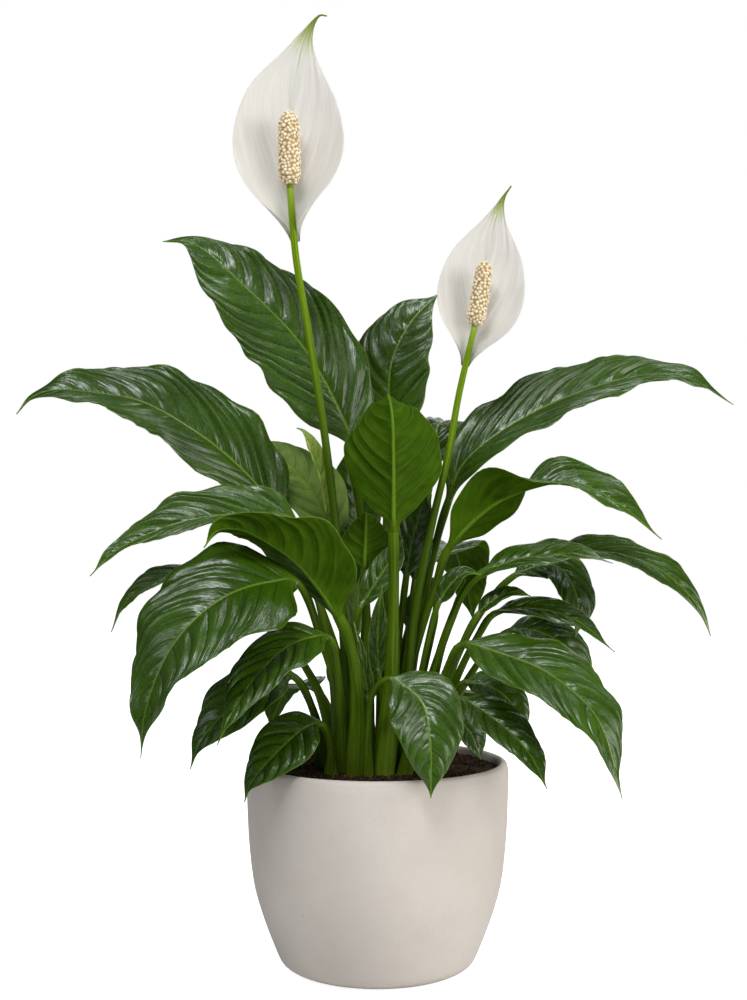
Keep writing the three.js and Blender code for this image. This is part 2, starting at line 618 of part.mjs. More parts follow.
// A spadix: a rounded column whose florets stand out as two crossing spirals.
function spadix(flower) {
  const foot = vector(flower.scape.at(-1));
  const axis = vector(flower.spadixTop).sub(foot);
  const length = axis.length();
  axis.normalize();
  const side = new THREE.Vector3(1, 0, 0).cross(axis).normalize();
  const front = new THREE.Vector3().crossVectors(axis, side);
  const low = foot.addScaledVector(axis, SPADIX_GAP);
  const vertices = [low.clone()];
  const faces = [];
  for (let i = 0; i <= SPADIX_RINGS; i += 1) {
    const t = i / SPADIX_RINGS;
    const body = Math.min(1, SPADIX_FOOT + 3 * t) * Math.sqrt(1 - Math.max(0, (t - 0.8) / 0.215) ** 2);
    const turned = (i % 2) * 0.5;
    for (let j = 0; j < SPADIX_SIDES; j += 1) {
      const angle = (2 * Math.PI * (j + turned)) / SPADIX_SIDES;
      const raised = FLORET * Math.cos((SPADIX_SIDES / 2) * angle + Math.PI * i);
      const relief = i > 0 && i < SPADIX_RINGS ? raised : 0;
      const radius = flower.spadix * body * (1 - SPADIX_TAPER * t) + relief;
      const spot = low.clone().addScaledVector(axis, t * (length - 1.5));
      spot.addScaledVector(side, radius * Math.sin(angle));
      spot.addScaledVector(front, radius * Math.cos(angle));
      vertices.push(spot);
    }
  }
  vertices.push(low.clone().addScaledVector(axis, length - 0.6));
  const last = vertices.length - 1;
  for (let j = 0; j < SPADIX_SIDES; j += 1) {
    const k = (j + 1) % SPADIX_SIDES;
    faces.push([0, 1 + j, 1 + k]);
    faces.push([last, last - SPADIX_SIDES + k, last - SPADIX_SIDES + j]);
    for (let i = 0; i < SPADIX_RINGS; i += 1) {
      const a = 1 + i * SPADIX_SIDES;
      const b = a + SPADIX_SIDES;
      if (i % 2) {
        faces.push([a + j, b + k, a + k], [a + j, b + j, b + k]);
      } else {
        faces.push([a + j, b + j, a + k], [a + k, b + j, b + k]);
      }
    }
  }
  return mesh(`spadix_${flower.name}`, indexed(vertices, faces), CREAM);
}

function potRadius(z) {
  let i = 1;
  while (i + 1 < POT_PROFILE.length && POT_PROFILE[i][0] < z) {
    i += 1;
  }
  const [low, high] = [POT_PROFILE[i - 1], POT_PROFILE[i]];
  return mix(low[1], high[1], (z - low[0]) / (high[0] - low[0]));
}

function pot() {
  const inner = [SOIL_EDGE_LEVEL, ...WALL_LEVELS].map((z) => [z, potRadius(z) - POT_WALL]);
  const floor = [[POT_FLOOR, FLOOR_RADIUS], [POT_FLOOR, 0]];
  const around = [[0, 0], ...POT_PROFILE, ...LIP_PROFILE, ...inner, ...floor];
  const profile = around.map(([z, radius]) => new THREE.Vector2(radius, z));
  const geometry = new THREE.LatheGeometry(profile, POT_SIDES);
  geometry.rotateX(Math.PI / 2);
  return mesh("pot", geometry, STONEWARE);
}

// Soil fills the pot to just under its lip, rough on top, with a plain hole a stem.
function soil(stems) {
  const inside = (z) => potRadius(z) - POT_WALL - SOIL_GAP;
  const vertices = [new THREE.Vector3(0, 0, SOIL_TOP + SOIL_CROWN)];
  const faces = [];
  for (let i = 1; i <= SOIL_RINGS; i += 1) {
    const share = i / SOIL_RINGS;
    const radius = share * inside(SOIL_EDGE_LEVEL);
    for (let j = 0; j < POT_SIDES; j += 1) {
      const angle = (2 * Math.PI * (j + 0.5 * (i % 2) * (i < SOIL_RINGS))) / POT_SIDES;
      const rough = GRAIN * Math.sin(5.1 * i + 2.7 * j) * Math.cos(1.7 * j - 3.3 * i) * (i < SOIL_RINGS);
      const z = SOIL_TOP - SOIL_DROP + (SOIL_CROWN + SOIL_DROP) * (1 - share ** 2) + rough;
      vertices.push(new THREE.Vector3(radius * Math.cos(angle), radius * Math.sin(angle), z));
    }
  }
  for (const z of WALL_LEVELS) {
    for (let j = 0; j < POT_SIDES; j += 1) {
      const angle = (2 * Math.PI * j) / POT_SIDES;
      vertices.push(new THREE.Vector3(inside(z) * Math.cos(angle), inside(z) * Math.sin(angle), z));
    }
  }
  vertices.push(new THREE.Vector3(0, 0, WALL_LEVELS.at(-1)));
  const bands = SOIL_RINGS + WALL_LEVELS.length;
  const last = vertices.length - 1;
  for (let j = 0; j < POT_SIDES; j += 1) {
    const k = (j + 1) % POT_SIDES;
    faces.push([0, 1 + j, 1 + k]);
    faces.push([last, last - POT_SIDES + k, last - POT_SIDES + j]);
    for (let i = 1; i < bands; i += 1) {
      const a = 1 + (i - 1) * POT_SIDES;
      const b = a + POT_SIDES;
      if (i % 2) {
        faces.push([a + j, b + j, b + k], [a + j, b + k, a + k]);
      } else {
        faces.push([a + j, b + j, a + k], [a + k, b + j, b + k]);
      }
    }
  }
  let body = solid(indexed(vertices, faces));
  for (const { root, next, radius } of stems) {
    const lean = next.clone().sub(root).normalize();
    const wide = (radius + STEM_GAP) / Math.cos(Math.PI / HOLE_SIDES);
    const hole = new THREE.CylinderGeometry(wide, wide, HOLE_ABOVE + HOLE_BELOW, HOLE_SIDES);
    hole.translate(0, 0.5 * (HOLE_ABOVE - HOLE_BELOW), 0);
    hole.applyQuaternion(new THREE.Quaternion().setFromUnitVectors(new THREE.Vector3(0, 1, 0), lean));
    hole.translate(root.x, root.y, root.z);
    body = body.subtract(solid(hole));
  }
  return mesh("soil", geometryOf(body), EARTH);
}

// A solid from a geometry, with equal corners joined and empty faces dropped.
function solid(geometry) {
  const flat = geometry.index ? geometry.toNonIndexed() : geometry;
  const merged = new Map();
  const points = [];
  const corners = [];
  const position = flat.getAttribute("position");
  for (let i = 0; i < position.count; i += 1) {
    const spot = [position.getX(i), position.getY(i), position.getZ(i)];
    const key = spot.map((value) => Math.round(value * 1e4)).join(" ");
    if (!merged.has(key)) {
      merged.set(key, merged.size);
      points.push(...spot);
    }
    corners.push(merged.get(key));
  }
  const whole = [];
  for (let i = 0; i < corners.length; i += 3) {
    const [a, b, c] = corners.slice(i, i + 3);
    if (a !== b && b !== c && c !== a) {
      whole.push(a, b, c);
    }
  }
  const raw = { numProp: 3, vertProperties: new Float32Array(points), triVerts: new Uint32Array(whole) };
  return new wasm.Manifold(new wasm.Mesh(raw));
}

function geometryOf(body) {
  const raw = body.getMesh();
  const geometry = new THREE.BufferGeometry();
  geometry.setAttribute("position", new THREE.BufferAttribute(raw.vertProperties, 3));
  geometry.setIndex(new THREE.BufferAttribute(raw.triVerts, 1));
  return geometry;
}

function mesh(name, geometry, material) {
  const made = new THREE.Mesh(geometry, material);
  made.name = name;
  return made;
}

const stems = [...LEAVES, ...FLOWERS].map(({ root, stem, stalk, scape: up }) => ({
  root: new THREE.Vector3(root[0], root[1], SOIL_TOP),
  next: vector((stalk ?? up)[0]),
  radius: stem,
}));

const plant = new THREE.Group();
plant.add(pot(), soil(stems));
plant.add(...LEAVES.map(leaf));
for (const flower of FLOWERS) {
  plant.add(scape(flower), spathe(flower), spadix(flower));
}

export default plant;
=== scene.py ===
"""Potted peace lily: long-stalked glossy leaves and two white flowers in a round stoneware pot."""

import math
import random
from itertools import combinations
from typing import NamedTuple

import bpy
import numpy as np
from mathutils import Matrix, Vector, noise


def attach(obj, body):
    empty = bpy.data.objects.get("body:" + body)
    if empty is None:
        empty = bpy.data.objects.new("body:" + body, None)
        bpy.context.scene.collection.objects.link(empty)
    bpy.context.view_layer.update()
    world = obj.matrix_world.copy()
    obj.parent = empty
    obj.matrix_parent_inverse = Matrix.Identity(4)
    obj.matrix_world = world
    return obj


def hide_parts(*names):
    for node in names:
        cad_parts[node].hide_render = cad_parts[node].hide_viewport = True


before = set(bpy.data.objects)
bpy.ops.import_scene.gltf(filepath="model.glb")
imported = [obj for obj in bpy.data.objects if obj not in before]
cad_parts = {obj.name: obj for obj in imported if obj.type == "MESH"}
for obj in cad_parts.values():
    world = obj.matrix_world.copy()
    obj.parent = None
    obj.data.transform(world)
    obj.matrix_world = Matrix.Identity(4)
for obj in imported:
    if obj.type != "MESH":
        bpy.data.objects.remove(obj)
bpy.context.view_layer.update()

# Lengths are in millimetres here, and each mesh is made in metres.
MM = 0.001
TURN = 2 * math.pi
SEED = 11

# The camera: where it stands, how far it looks down, its lens and its sensor's height.
CAMERA_AT = (-3.1, -1560, 417)
CAMERA_DOWN = 1.9
CAMERA_LENS = 73.0
CAMERA_SENSOR = 36

# Each light, in metres and watts: where it stands, its size, power and colour.
WARM, COOL, WHITE = (1, 0.985, 0.96), (0.94, 0.97, 1), (1, 1, 1)
LIGHTS = {
    "key": ((1.9, -1.2, 1.0), (1.7, 1.4), 41, WARM),
    "front top": ((-0.35, -1.25, 2.2), (1.0, 0.45), 33, COOL),
    "top": ((-0.2, 0.25, 2.3), (0.8, 0.3), 5.5, COOL),
    "top right": ((0.9, 0.5, 2.2), (0.7, 0.3), 6, COOL),
    "left": ((-1.6, -0.9, 1.7), (0.8, 0.8), 7, COOL),
    "back": ((0.4, 2.2, 1.6), (2.0, 1.4), 14, WHITE),
}
LIGHTS_AIM = (0, 0, 0.35)
SKY_STRENGTH = 0.1
FLOOR_HALF = 9
FLOOR_GLOW = 0.92

# How curves are followed: steps from point to point, and the reach of their direction either way.
ROUTE_STEPS = 60
ROUTE_LOOK = 2.5

# The pot's height and outer radius, from the flat bottom to the lip.
POT_PROFILE = (
    (0, 50), (1, 56), (3, 63), (6, 69.5), (10, 74.2), (23, 80.2), (44, 88.1), (68, 95),
    (100, 99), (132, 100.6), (158, 100.9), (162.5, 99.7),
)
LIP_PROFILE = ((164, 97.5), (164, 95.8), (162.4, 94.2))
WALL_LEVELS = (132, 100, 68, 44, 23, 14)
POT_SIDES = 192
POT_WALL = 7
FLOOR_LEVEL = 9
FLOOR_RADIUS = 58

SOIL_TOP = 160
SOIL_EDGE = 158
SOIL_CROWN = 2.5
SOIL_DROP = 2
SOIL_GAP = 0.8
SOIL_RINGS = 84
SOIL_SIDES = 240
# Rises of the rough soil, with the length of each and a shift that keeps them apart.
SOIL_ROUGH = ((1.3, 14, 0), (0.9, 4.5, 40), (0.7, 1.9, 80))
STEM_DEPTH = 14

CRUMBS = 3400
CRUMB_LEAST = 0.4
CRUMB_MORE = 1.1
CRUMB_SPANS = ((0.7, 1.5), (0.5, 1), (0.5, 0.9))
CRUMB_UNEVEN = (0.82, 1.12)
CRUMB_LEAN = 0.5
CRUMB_CLEAR = 0.4
BALL_SIDE_MOST = 1.2

# The points on each side of a leaf's section, closer together at midrib and edge.
SIDE_SPOTS = (0.02, 0.045, 0.08, 0.14, 0.24, 0.36, 0.48, 0.6, 0.72, 0.84, 0.94, 1.0)

# Side veins: rows per vein, how many fan out at the base, their spacing, and how they lean ahead.
VEIN_ROWS = 10
FAN_VEINS = 3
FEWEST_VEINS = 4
VEIN_SPACING = 26
VEIN_LEAN = 0.15
VEIN_CURVE = 0.19
VEIN_CROWD = 1.3
VEIN_UNEVEN = 0.12

# The blade: its form across, its waved and scalloped edge, and the relief between its veins.
FULLNESS = 0.8
LEAF_TAIL = (0.8, 0.5)
TIP_GAP = 0.5
TIP_HALF = 0.4
DROOP = 0.1
CREASE = 0.03
WAVE_LENGTH = 62
WAVE_SHARE = 0.03
WAVE_MOST = 2.6
YOUNG_WAVE = 0.3
WAVE_TURN = 2.4
EDGE_TURN = 1.9
FINER_WAVE = 1.9
SCALLOP = 0.03
SCALLOP_LENGTH = 37
PLEAT = 0.13
PLEAT_LEVEL = 0.55
UNEVEN = 0.35
QUILT = 0.25
BLADE = 0.55
MIDRIB = 0.9
GROOVE = 0.5
GROOVE_WIDTH = 1.7

# The stalk: its rows, its radius along it, its knee under the blade, and its section. The last are
# a dip, two wings and fine ribs, with turns in degrees, and the dip and wings grow in the sheath.
STALK_ROW = 4.0
STALK_ROWS_LEAST = 8
SHEATH = 0.1
SLIM_FROM = 0.8
SLIM_SHARE = 0.5
SLIM_LEAST = 0.3
ROUND_END = 0.6
KNEE = 0.1
KNEE_BELOW = 12
KNEE_LENGTH = 9
FOOT_SWELL = 0.14
DIP, SHEATH_DIP, DIP_TURN = 0.1, 0.16, 26
WING, SHEATH_WING, WING_TURN, WING_AT = 0.02, 0.08, 14, 42
STALK_RIBS = 7
STALK_RIB = 0.035

SCAPE_ROW = 5
SCAPE_SIDES = 20
SCAPE_RIBS = 5
SCAPE_RIB = 0.02

SPATHE_ROWS = 120
SPATHE_SIDE = 61
SPATHE_CROWD = 0.35
SPATHE_SHEET = 0.5
SPATHE_FULLNESS = 0.85
SPATHE_TAIL = (0.6, 0.7)
SPATHE_HOLLOW = 70
SPATHE_RIDGES = 3.6
SPATHE_RELIEF = 0.36
SPATHE_BILLOW = 0.9
SPATHE_RIB_WIDTH = 1.6

SPADIX_GAP = 0.7
SPADIX_END = 0.9
SPADIX_INSET = 0.35
SPADIX_FOOT = 0.62
SPADIX_TAPER = 0.12
SPADIX_DOME = 0.2
SPADIX_ROW = 0.36
SPADIX_SIDES = 176
FLORET_START = 0.3
FLORET_GAP = 2.3
FLORET_TRIES = 9000
FLORET_SIZE = 0.55
FLORET_RISE = 1.5
FLORET_RISES = (0.6, 1.1)


class Leaf(NamedTuple):
    root: tuple  # of its stem, in the soil
    stem: float  # the stem's radius there
    stalk: tuple  # points up the stalk
    rib: tuple  # points along the midrib, from the blade's base to its tip
    faces: tuple  # the way the upper face looks, at even steps from base to tip
    width: float  # the blade's greatest width
    widest: float  # where along the blade that is
    fold: tuple  # how far the halves fold up, in degrees, at base and tip
    full: float = FULLNESS  # low for a broad base
    # A listed tone is painted light: it lightens or darkens one leaf for how it is lit. A drawn tone differs
    # at random.
    tone: float = None  # 0 for the darkest green and 1 for the lightest, or drawn at random
    pale: bool = False
    young: bool = False  # rolled up


class Flower(NamedTuple):
    root: tuple  # of its scape, in the soil
    stem: float  # the scape's radius there
    top: float  # and at its top
    scape: tuple  # points up the scape, to the foot of the spadix
    spadix_top: tuple
    spadix: float  # the spadix's radius
    rib: tuple  # points along the spathe's midrib, from its foot to its tip
    faces: tuple  # the way the spathe's upper face looks, at foot and tip
    width: float  # the spathe's greatest width
    widest: float  # where along the spathe that is


LEAVES = dict(
    left_long=Leaf((-23, -3), 5, ((-25, -5, 219), (-46, -1, 289)),
        ((-70, 4, 346), (-114, 6, 398), (-178, 0, 440), (-216, -5, 448),
         (-246, -10, 450), (-264, -11, 444), (-276, -12, 431)),
        ((0, -0.68, 0.73), (0, -0.6, 0.8)), 86, 0.39, (25, 16), tone=0),
    left_tall=Leaf((-8, 12), 5.4, ((-9, 16, 272), (-14, 24, 365)),
        ((-18, 28, 404), (-55, 40, 480), (-105, 52, 533), (-149, 62, 569), (-172, 66, 570)),
        ((0.15, -1, 0.35), (-0.2, -0.7, 0.8)), 84, 0.4, (10, 4), full=0.68, tone=0.5),
    left_mid=Leaf((-30, -14), 5, ((-31, -14, 213), (-45, -20, 290)),
        ((-60, -32, 346), (-73, -35, 356), (-97, -41, 357),
         (-148, -52, 350), (-195, -60, 329), (-213, -65, 311)),
        ((0, -0.56, 0.83), (0, -0.5, 0.85)), 57, 0.36, (32, 20)),
    left_back_low=Leaf((-32, 20), 4.2, ((-47, 40, 213), (-86, 58, 267)),
        ((-114, 64, 289), (-139, 68, 298), (-164, 70, 301),
         (-188, 70, 294), (-205, 70, 278), (-215, 70, 256)),
        ((0, -0.1, 1), (-0.3, -0.5, 0.8)), 42, 0.36, (20, 13), tone=1),
    left_front_large=Leaf((-33, -27), 5.2, ((-29, -34, 215), (-42, -42, 261)),
        ((-59, -60, 305), (-79, -76, 308), (-114, -101, 297),
         (-146, -122, 266), (-164, -137, 221), (-167, -142, 188)),
        ((-0.3, -0.82, 0.48), (-0.7, -0.7, 0.2)), 98, 0.32, (8, 6), full=0.62, tone=0.3),
    left_front_mid=Leaf((-26, -36.5), 4.6, ((-27, -43.5, 200), (-31, -54, 247)),
        ((-36, -62, 265), (-60, -80, 264), (-87, -106, 243), (-107, -128, 212), (-114, -134, 196)),
        ((-0.3, -0.7, 0.6), (-0.6, -0.75, 0.2)), 52, 0.36, (8, 5), tone=0.6),
    left_low=Leaf((-42, -17), 5, ((-45, -24, 193),),
        ((-62, -34, 232), (-76, -40, 235), (-105, -55, 217), (-131, -67, 189), (-139, -70, 168)),
        ((-0.3, -0.6, 0.7), (-0.6, -0.75, 0.2)), 56, 0.36, (10, 6)),
    left_rim=Leaf((-35, -44), 5, ((-35, -44, 180),),
        ((-42, -52, 199), (-52, -58, 199), (-73, -72, 183), (-94, -82, 159), (-98, -84, 146)),
        ((-0.2, -0.75, 0.6), (-0.55, -0.8, 0.2)), 47, 0.36, (10, 6)),
    left_cup=Leaf((-16, -45), 7.6, ((-15, -48, 206), (-19, -53, 251)),
        ((-29, -57, 280), (-58, -66, 320), (-82, -74, 338),
         (-101, -82, 347), (-117, -84, 346), (-127, -86, 333)),
        ((0.42, 0.8, 0.42), (0.2, 0.6, 0.8)), 80, 0.34, (36, 24), tone=0),
    left_back_mid=Leaf((-16, 22), 4.4, ((-20, 24, 255),),
        ((-33, 28, 330), (-45, 32, 361), (-59, 37, 382), (-87, 50, 406), (-100, 58, 408)),
        ((0.3, -0.9, 0.4), (0, -0.7, 0.7)), 52, 0.4, (14, 9), pale=True),
    centre_cup=Leaf((4.5, -45), 7.4, ((10, -40, 223), (12, -38, 291)),
        ((12, -37, 342), (12, -34, 396), (11, -26, 430), (8, -10, 445), (6, 6, 438), (5, 14, 424)),
        ((0, 1, 0.1), (0, 0.2, -1)), 82, 0.42, (12, 44), full=1.3, tone=0.4),
    centre_back=Leaf((4, 33), 4.8, ((12, 44, 253), (12, 56, 347)),
        ((11, 62, 411), (11, 68, 472), (27, 74, 506), (49, 80, 529)), ((-0.1, -1, 0.2), (-0.3, -0.9, 0.4)),
        66, 0.42, (12, 8), full=0.7),
    centre_low_cup=Leaf((-3, -11), 5.2, ((-10, -8, 219), (-9, -6, 281)),
        ((-10, -4, 312), (-9, 0, 342), (-9, 7, 355), (-10, 14, 351)), ((0, 1, 0.1), (0, 0.2, -1)), 40, 0.4,
        (10, 40), tone=0.3),
    centre_slant=Leaf((-11, -17), 4, ((-15, -18, 220), (-17, -20, 270)),
        ((-13, -19, 284), (2, -16, 308), (14, -13, 326), (19, -12, 336)),
        ((-0.3, -0.9, 0.2), (-0.3, -0.9, 0.3)), 24, 0.5, (14, 9)),
    back_left_upright=Leaf((-7, 34), 4.4, ((-9, 50, 252),),
        ((-12, 62, 315), (-20, 72, 371), (-24, 76, 389), (-25, 80, 403)), ((0.2, -0.9, 0.3), (0, -0.9, 0.3)),
        40, 0.45, (10, 6)),
    back_right_small=Leaf((17, 30), 4.2, ((24, 42, 253), (37, 56, 347)),
        ((44, 62, 387), (49, 74, 423), (60, 104, 424), (73, 132, 393)), ((0, -0.8, 0.6), (0, 0.3, 0.95)), 46,
        0.4, (10, 6)),
    right_long=Leaf((14, 9), 5.4, ((27, 10, 241), (44, 12, 326)),
        ((55, 13, 364), (68, 14, 395), (123, 18, 434), (195, 22, 460), (237, 24, 462), (279, 27, 439)),
        ((0, -0.58, 0.8), (0, -0.4, 0.9)), 70, 0.42, (24, 14), tone=0.6),
    right_mid=Leaf((14, -10), 5.4, ((23, -12, 228), (45, -17, 303)),
        ((54, -21, 329), (88, -27, 363), (120, -34, 377), (148, -40, 380), (179, -48, 365), (211, -59, 338)),
        ((-0.2, 0.95, 0.2), (-0.1, 0.8, 0.5), (0, -0.35, 0.9), (0.1, -0.55, 0.8), (0.2, -0.6, 0.8)), 60, 0.38,
        (27, 24), tone=1),
    right_bridge=Leaf((29, -13), 5, ((41, -20, 222), (51, -24, 262), (66, -31, 298)),
        ((79, -36, 312), (98, -40, 320), (118, -44, 325), (150, -50, 327), (176, -52, 320)),
        ((0, -0.5, 0.85), (0, -0.3, 0.95)), 40, 0.42, (18, 10), tone=0.9),
    right_reach=Leaf((26, 0), 5, ((39, -2, 219), (57, -5, 273)),
        ((69, -2, 299), (93, -1, 313), (124, -2, 318), (163, -6, 327),
         (212, -18, 315), (244, -28, 284), (252, -32, 263)),
        ((-0.1, 0.5, 0.85), (0, -0.35, 0.9), (0.2, -0.6, 0.75)), 46, 0.42, (20, 12), tone=1),
    right_hook=Leaf((36, 11), 4.4, ((61, 17, 240), (89, 26, 287)),
        ((107, 32, 304), (125, 35, 312), (142, 33, 312), (156, 20, 289), (154, 8, 258)),
        ((0, -0.5, 0.85), (0.7, -0.7, 0.1)), 42, 0.44, (14, 9)),
    right_low_reach=Leaf((39, -6), 4.6, ((57, -10, 220), (77, -14, 262)),
        ((89, -17, 279), (119, -24, 284), (151, -32, 275), (179, -41, 252)),
        ((0, -0.4, 0.9), (0.2, -0.5, 0.8)), 32, 0.36, (16, 10)),
    right_low_back=Leaf((34, 22), 4.6, ((61, 24, 208), (87, 26, 247)),
        ((102, 26, 261), (121, 24, 263), (153, 16, 246), (170, 9, 213)), ((0, -0.5, 0.85), (0.5, -0.7, 0.4)),
        42, 0.36, (12, 8)),
    right_front_large=Leaf((31, -32), 5.2, ((41, -38, 207), (54, -44, 244)),
        ((62, -49, 258), (93, -70, 254), (127, -96, 241), (157, -120, 213), (173, -136, 158)),
        ((0.2, -0.65, 0.7), (0.6, -0.75, 0.3)), 64, 0.38, (10, 6), tone=0.9),
    right_low_mid=Leaf((46, -22), 4.6, ((52, -22, 201), (59, -23, 221)),
        ((66, -24, 227), (90, -32, 223), (108, -40, 204), (112, -44, 192)),
        ((0.2, -0.6, 0.75), (0.5, -0.75, 0.4)), 36, 0.4, (14, 9)),
    right_low_front=Leaf((20, -45), 5.4, ((28, -48, 188), (46, -56, 211)),
        ((61, -60, 219), (87, -78, 206), (109, -98, 186), (122, -112, 161)),
        ((0.2, -0.7, 0.7), (0.6, -0.75, 0.3)), 40, 0.38, (12, 8)),
    right_rim=Leaf((49, 5), 3.8, ((54, 3, 183),), ((60, 2, 195), (71, -2, 187), (80, -7, 165)),
        ((0.3, -0.7, 0.6), (0.7, -0.7, 0.1)), 28, 0.4, (14, 9)),
    front_rim=Leaf((-7, -53.2), 3.6, ((-7, -57, 190), (-3, -66, 226)),
        ((8, -73, 236), (20, -81, 232), (33, -93, 220), (38, -107, 193), (38, -115, 155)),
        ((0.1, -0.8, 0.6), (0.05, -1, 0.1)), 54, 0.4, (8, 5)),
    back_long=Leaf((4, 46), 5, ((5, 62, 243), (7, 90, 330)),
        ((8, 112, 370), (10, 162, 402), (10, 214, 379), (8, 232, 350)), ((0, 0.1, 1), (0, 0.6, 0.7)), 70,
        0.38, (16, 10)),
    back_left_long=Leaf((-22, 38), 5, ((-20, 58, 235), (-32, 84, 289)),
        ((-39, 102, 313), (-58, 148, 327), (-78, 184, 287), (-86, 194, 255)),
        ((-0.1, 0.1, 1), (-0.4, 0.6, 0.6)), 66, 0.38, (16, 10)),
    back_right_long=Leaf((26, 40), 5, ((25, 58, 235), (38, 84, 289)),
        ((45, 102, 311), (63, 148, 322), (78, 180, 282), (84, 190, 252)), ((0.1, 0.1, 1), (0.4, 0.6, 0.6)),
        62, 0.38, (16, 10)),
    back_low=Leaf((-9, 50), 4.8, ((-9, 72, 191),), ((-13, 92, 215), (-16, 134, 223), (-19, 176, 160)),
        ((0, 0.1, 1), (-0.1, 0.8, 0.5)), 56, 0.38, (14, 9)),
    back_low_left=Leaf((-36, 34), 4.4, ((-38, 56, 194),), ((-50, 76, 209), (-74, 112, 206), (-92, 136, 169)),
        ((-0.2, 0, 1), (-0.5, 0.6, 0.6)), 52, 0.38, (14, 9)),
    back_low_right=Leaf((40, 36), 4.4, ((38, 56, 192),), ((46, 76, 207), (69, 112, 201), (85, 136, 162)),
        ((0.2, 0, 1), (0.5, 0.6, 0.6)), 50, 0.38, (14, 9)),
    back_inner=Leaf((14, 20), 4.6, ((18, 24, 230),),
        ((24, 26, 262), (34, 30, 290), (46, 34, 302), (60, 38, 296)), ((-0.1, -0.3, 0.9), (0.1, 0.2, 1)), 30,
        0.4, (14, 9)),
    centre_right_inner=Leaf((3, 0), 4.4, ((12, -1, 222), (20, -1, 290)),
        ((22, -4, 306), (26, -2, 332), (33, 0, 356), (38, 2, 372)), ((-0.3, -0.95, 0.1), (-0.3, -0.95, 0.2)),
        32, 0.42, (14, 8)),
    right_inner_small=Leaf((25, 12), 3.8, ((34, 6, 222), (44, 0, 270)),
        ((46, 0, 288), (51, -2, 296), (57, -3, 298), (61, -3, 294)), ((0, -0.6, 0.8), (0.2, -0.5, 0.8)), 16,
        0.42, (14, 8)),
    inner_pointed=Leaf((-6, -29), 5, ((-6, -31, 196),),
        ((-7, -32, 212), (-9, -33, 234), (-13, -33, 256), (-18, -33, 275)), ((0, -1, 0.1), (0, -1, 0.2)), 13,
        0.3, (40, 26)),
    inner_narrow=Leaf((6, -22), 4.2, ((3, -24, 212),),
        ((1, -24, 232), (0, -25, 258), (1, -26, 282), (4, -26, 302)), ((0.2, -1, 0.1), (0.2, -1, 0.2)), 19,
        0.35, (34, 22)),
    inner_pale=Leaf((-12, -3), 3.4, ((-17, 1, 222),),
        ((-17, 3, 254), (-18, 7, 296), (-19, 10, 328), (-19, 13, 350)), ((0.3, -1, 0.2), (0.3, -1, 0.2)), 17,
        0.4, (24, 16), pale=True),
    right_inner_tall=Leaf((15, 0), 3.4, ((21.5, 0, 235),),
        ((29, -1, 300), (33, 1, 330), (37, 4, 354), (42, 8, 370)), ((-0.2, -1, 0.2), (-0.2, -1, 0.3)), 20,
        0.4, (20, 12)),
    right_inner_low=Leaf((24, -22), 3.6, ((31, -25, 222), (40, -30, 268)),
        ((46, -33, 288), (55, -36, 303), (66, -39, 312), (78, -42, 311)), ((0, -0.6, 0.8), (0.2, -0.5, 0.8)),
        20, 0.4, (18, 12)),
    right_inner_front=Leaf((35.5, -21.5), 3.6, ((50, -27, 222), (66, -30, 262)),
        ((76, -31, 280), (88, -31, 291), (102, -32, 297), (116, -33, 294)),
        ((0, -0.4, 0.9), (0.2, -0.5, 0.8)), 20, 0.4, (18, 12)),
    furled_young=Leaf((-20, 9), 3.2, ((-21, 6, 225), (-34, 0, 319)),
        ((-38, -3, 352), (-47, -5, 391), (-57, -7, 418), (-62, -9, 421)),
        ((0.7, -0.7, 0.3), (0.7, -0.7, 0.3)), 26, 0.42, (58, 38), young=True),
)

FLOWERS = dict(
    tall=Flower((-19, -26), 3.6, 2.6,
        ((-27, -20, 277), (-32, -16, 345), (-41, -12, 420), (-53, -8, 495), (-62.5, -6, 552), (-67, -5, 606)),
        (-68, -5, 662), 8.5,
        ((-62.7, 1.6, 563), (-65.3, 2, 577), (-67.6, 4.6, 602), (-66.8, 15, 668), (-58, 14, 714),
         (-53.5, 12, 725), (-48, 10, 734), (-44, 9, 737.5), (-39, 7, 736.5)),
        ((0, -1, 0), (0, -1, 0.1)), 92, 0.38),
    short=Flower((18, -27), 3.8, 2.3,
        ((28, -22, 275), (41, -15, 345), (54, -10, 400), (62, -6, 445), (74.5, -4, 499)), (82.5, -4, 548),
        6.8,
        ((67, 0, 468), (70, 1, 480), (75, 5, 502), (84, 14, 548),
         (92, 13, 584), (97, 11, 598), (103, 9, 607)),
        ((0, -1, 0), (0, -1, 0.1)), 70, 0.38),
)


def smooth(start, end, x):
    k = np.clip((np.asarray(x, float) - start) / (end - start), 0, 1)
    return k * k * (3 - 2 * k)


def bell(x, width):
    return np.exp(-((x / width) ** 2))


def mix(a, b, k):
    return a + (b - a) * k


def unit(v):
    return v / np.linalg.norm(v, axis=-1, keepdims=True)


def square_to(v, along):
    """v without its part along the given direction, at unit length."""
    return unit(v - along * np.sum(v * along, axis=-1, keepdims=True))


def between(x, stops, points):
    """The place or direction at x, from those at the stops."""
    return np.stack([np.interp(x, stops, points[:, c]) for c in range(3)], axis=-1)


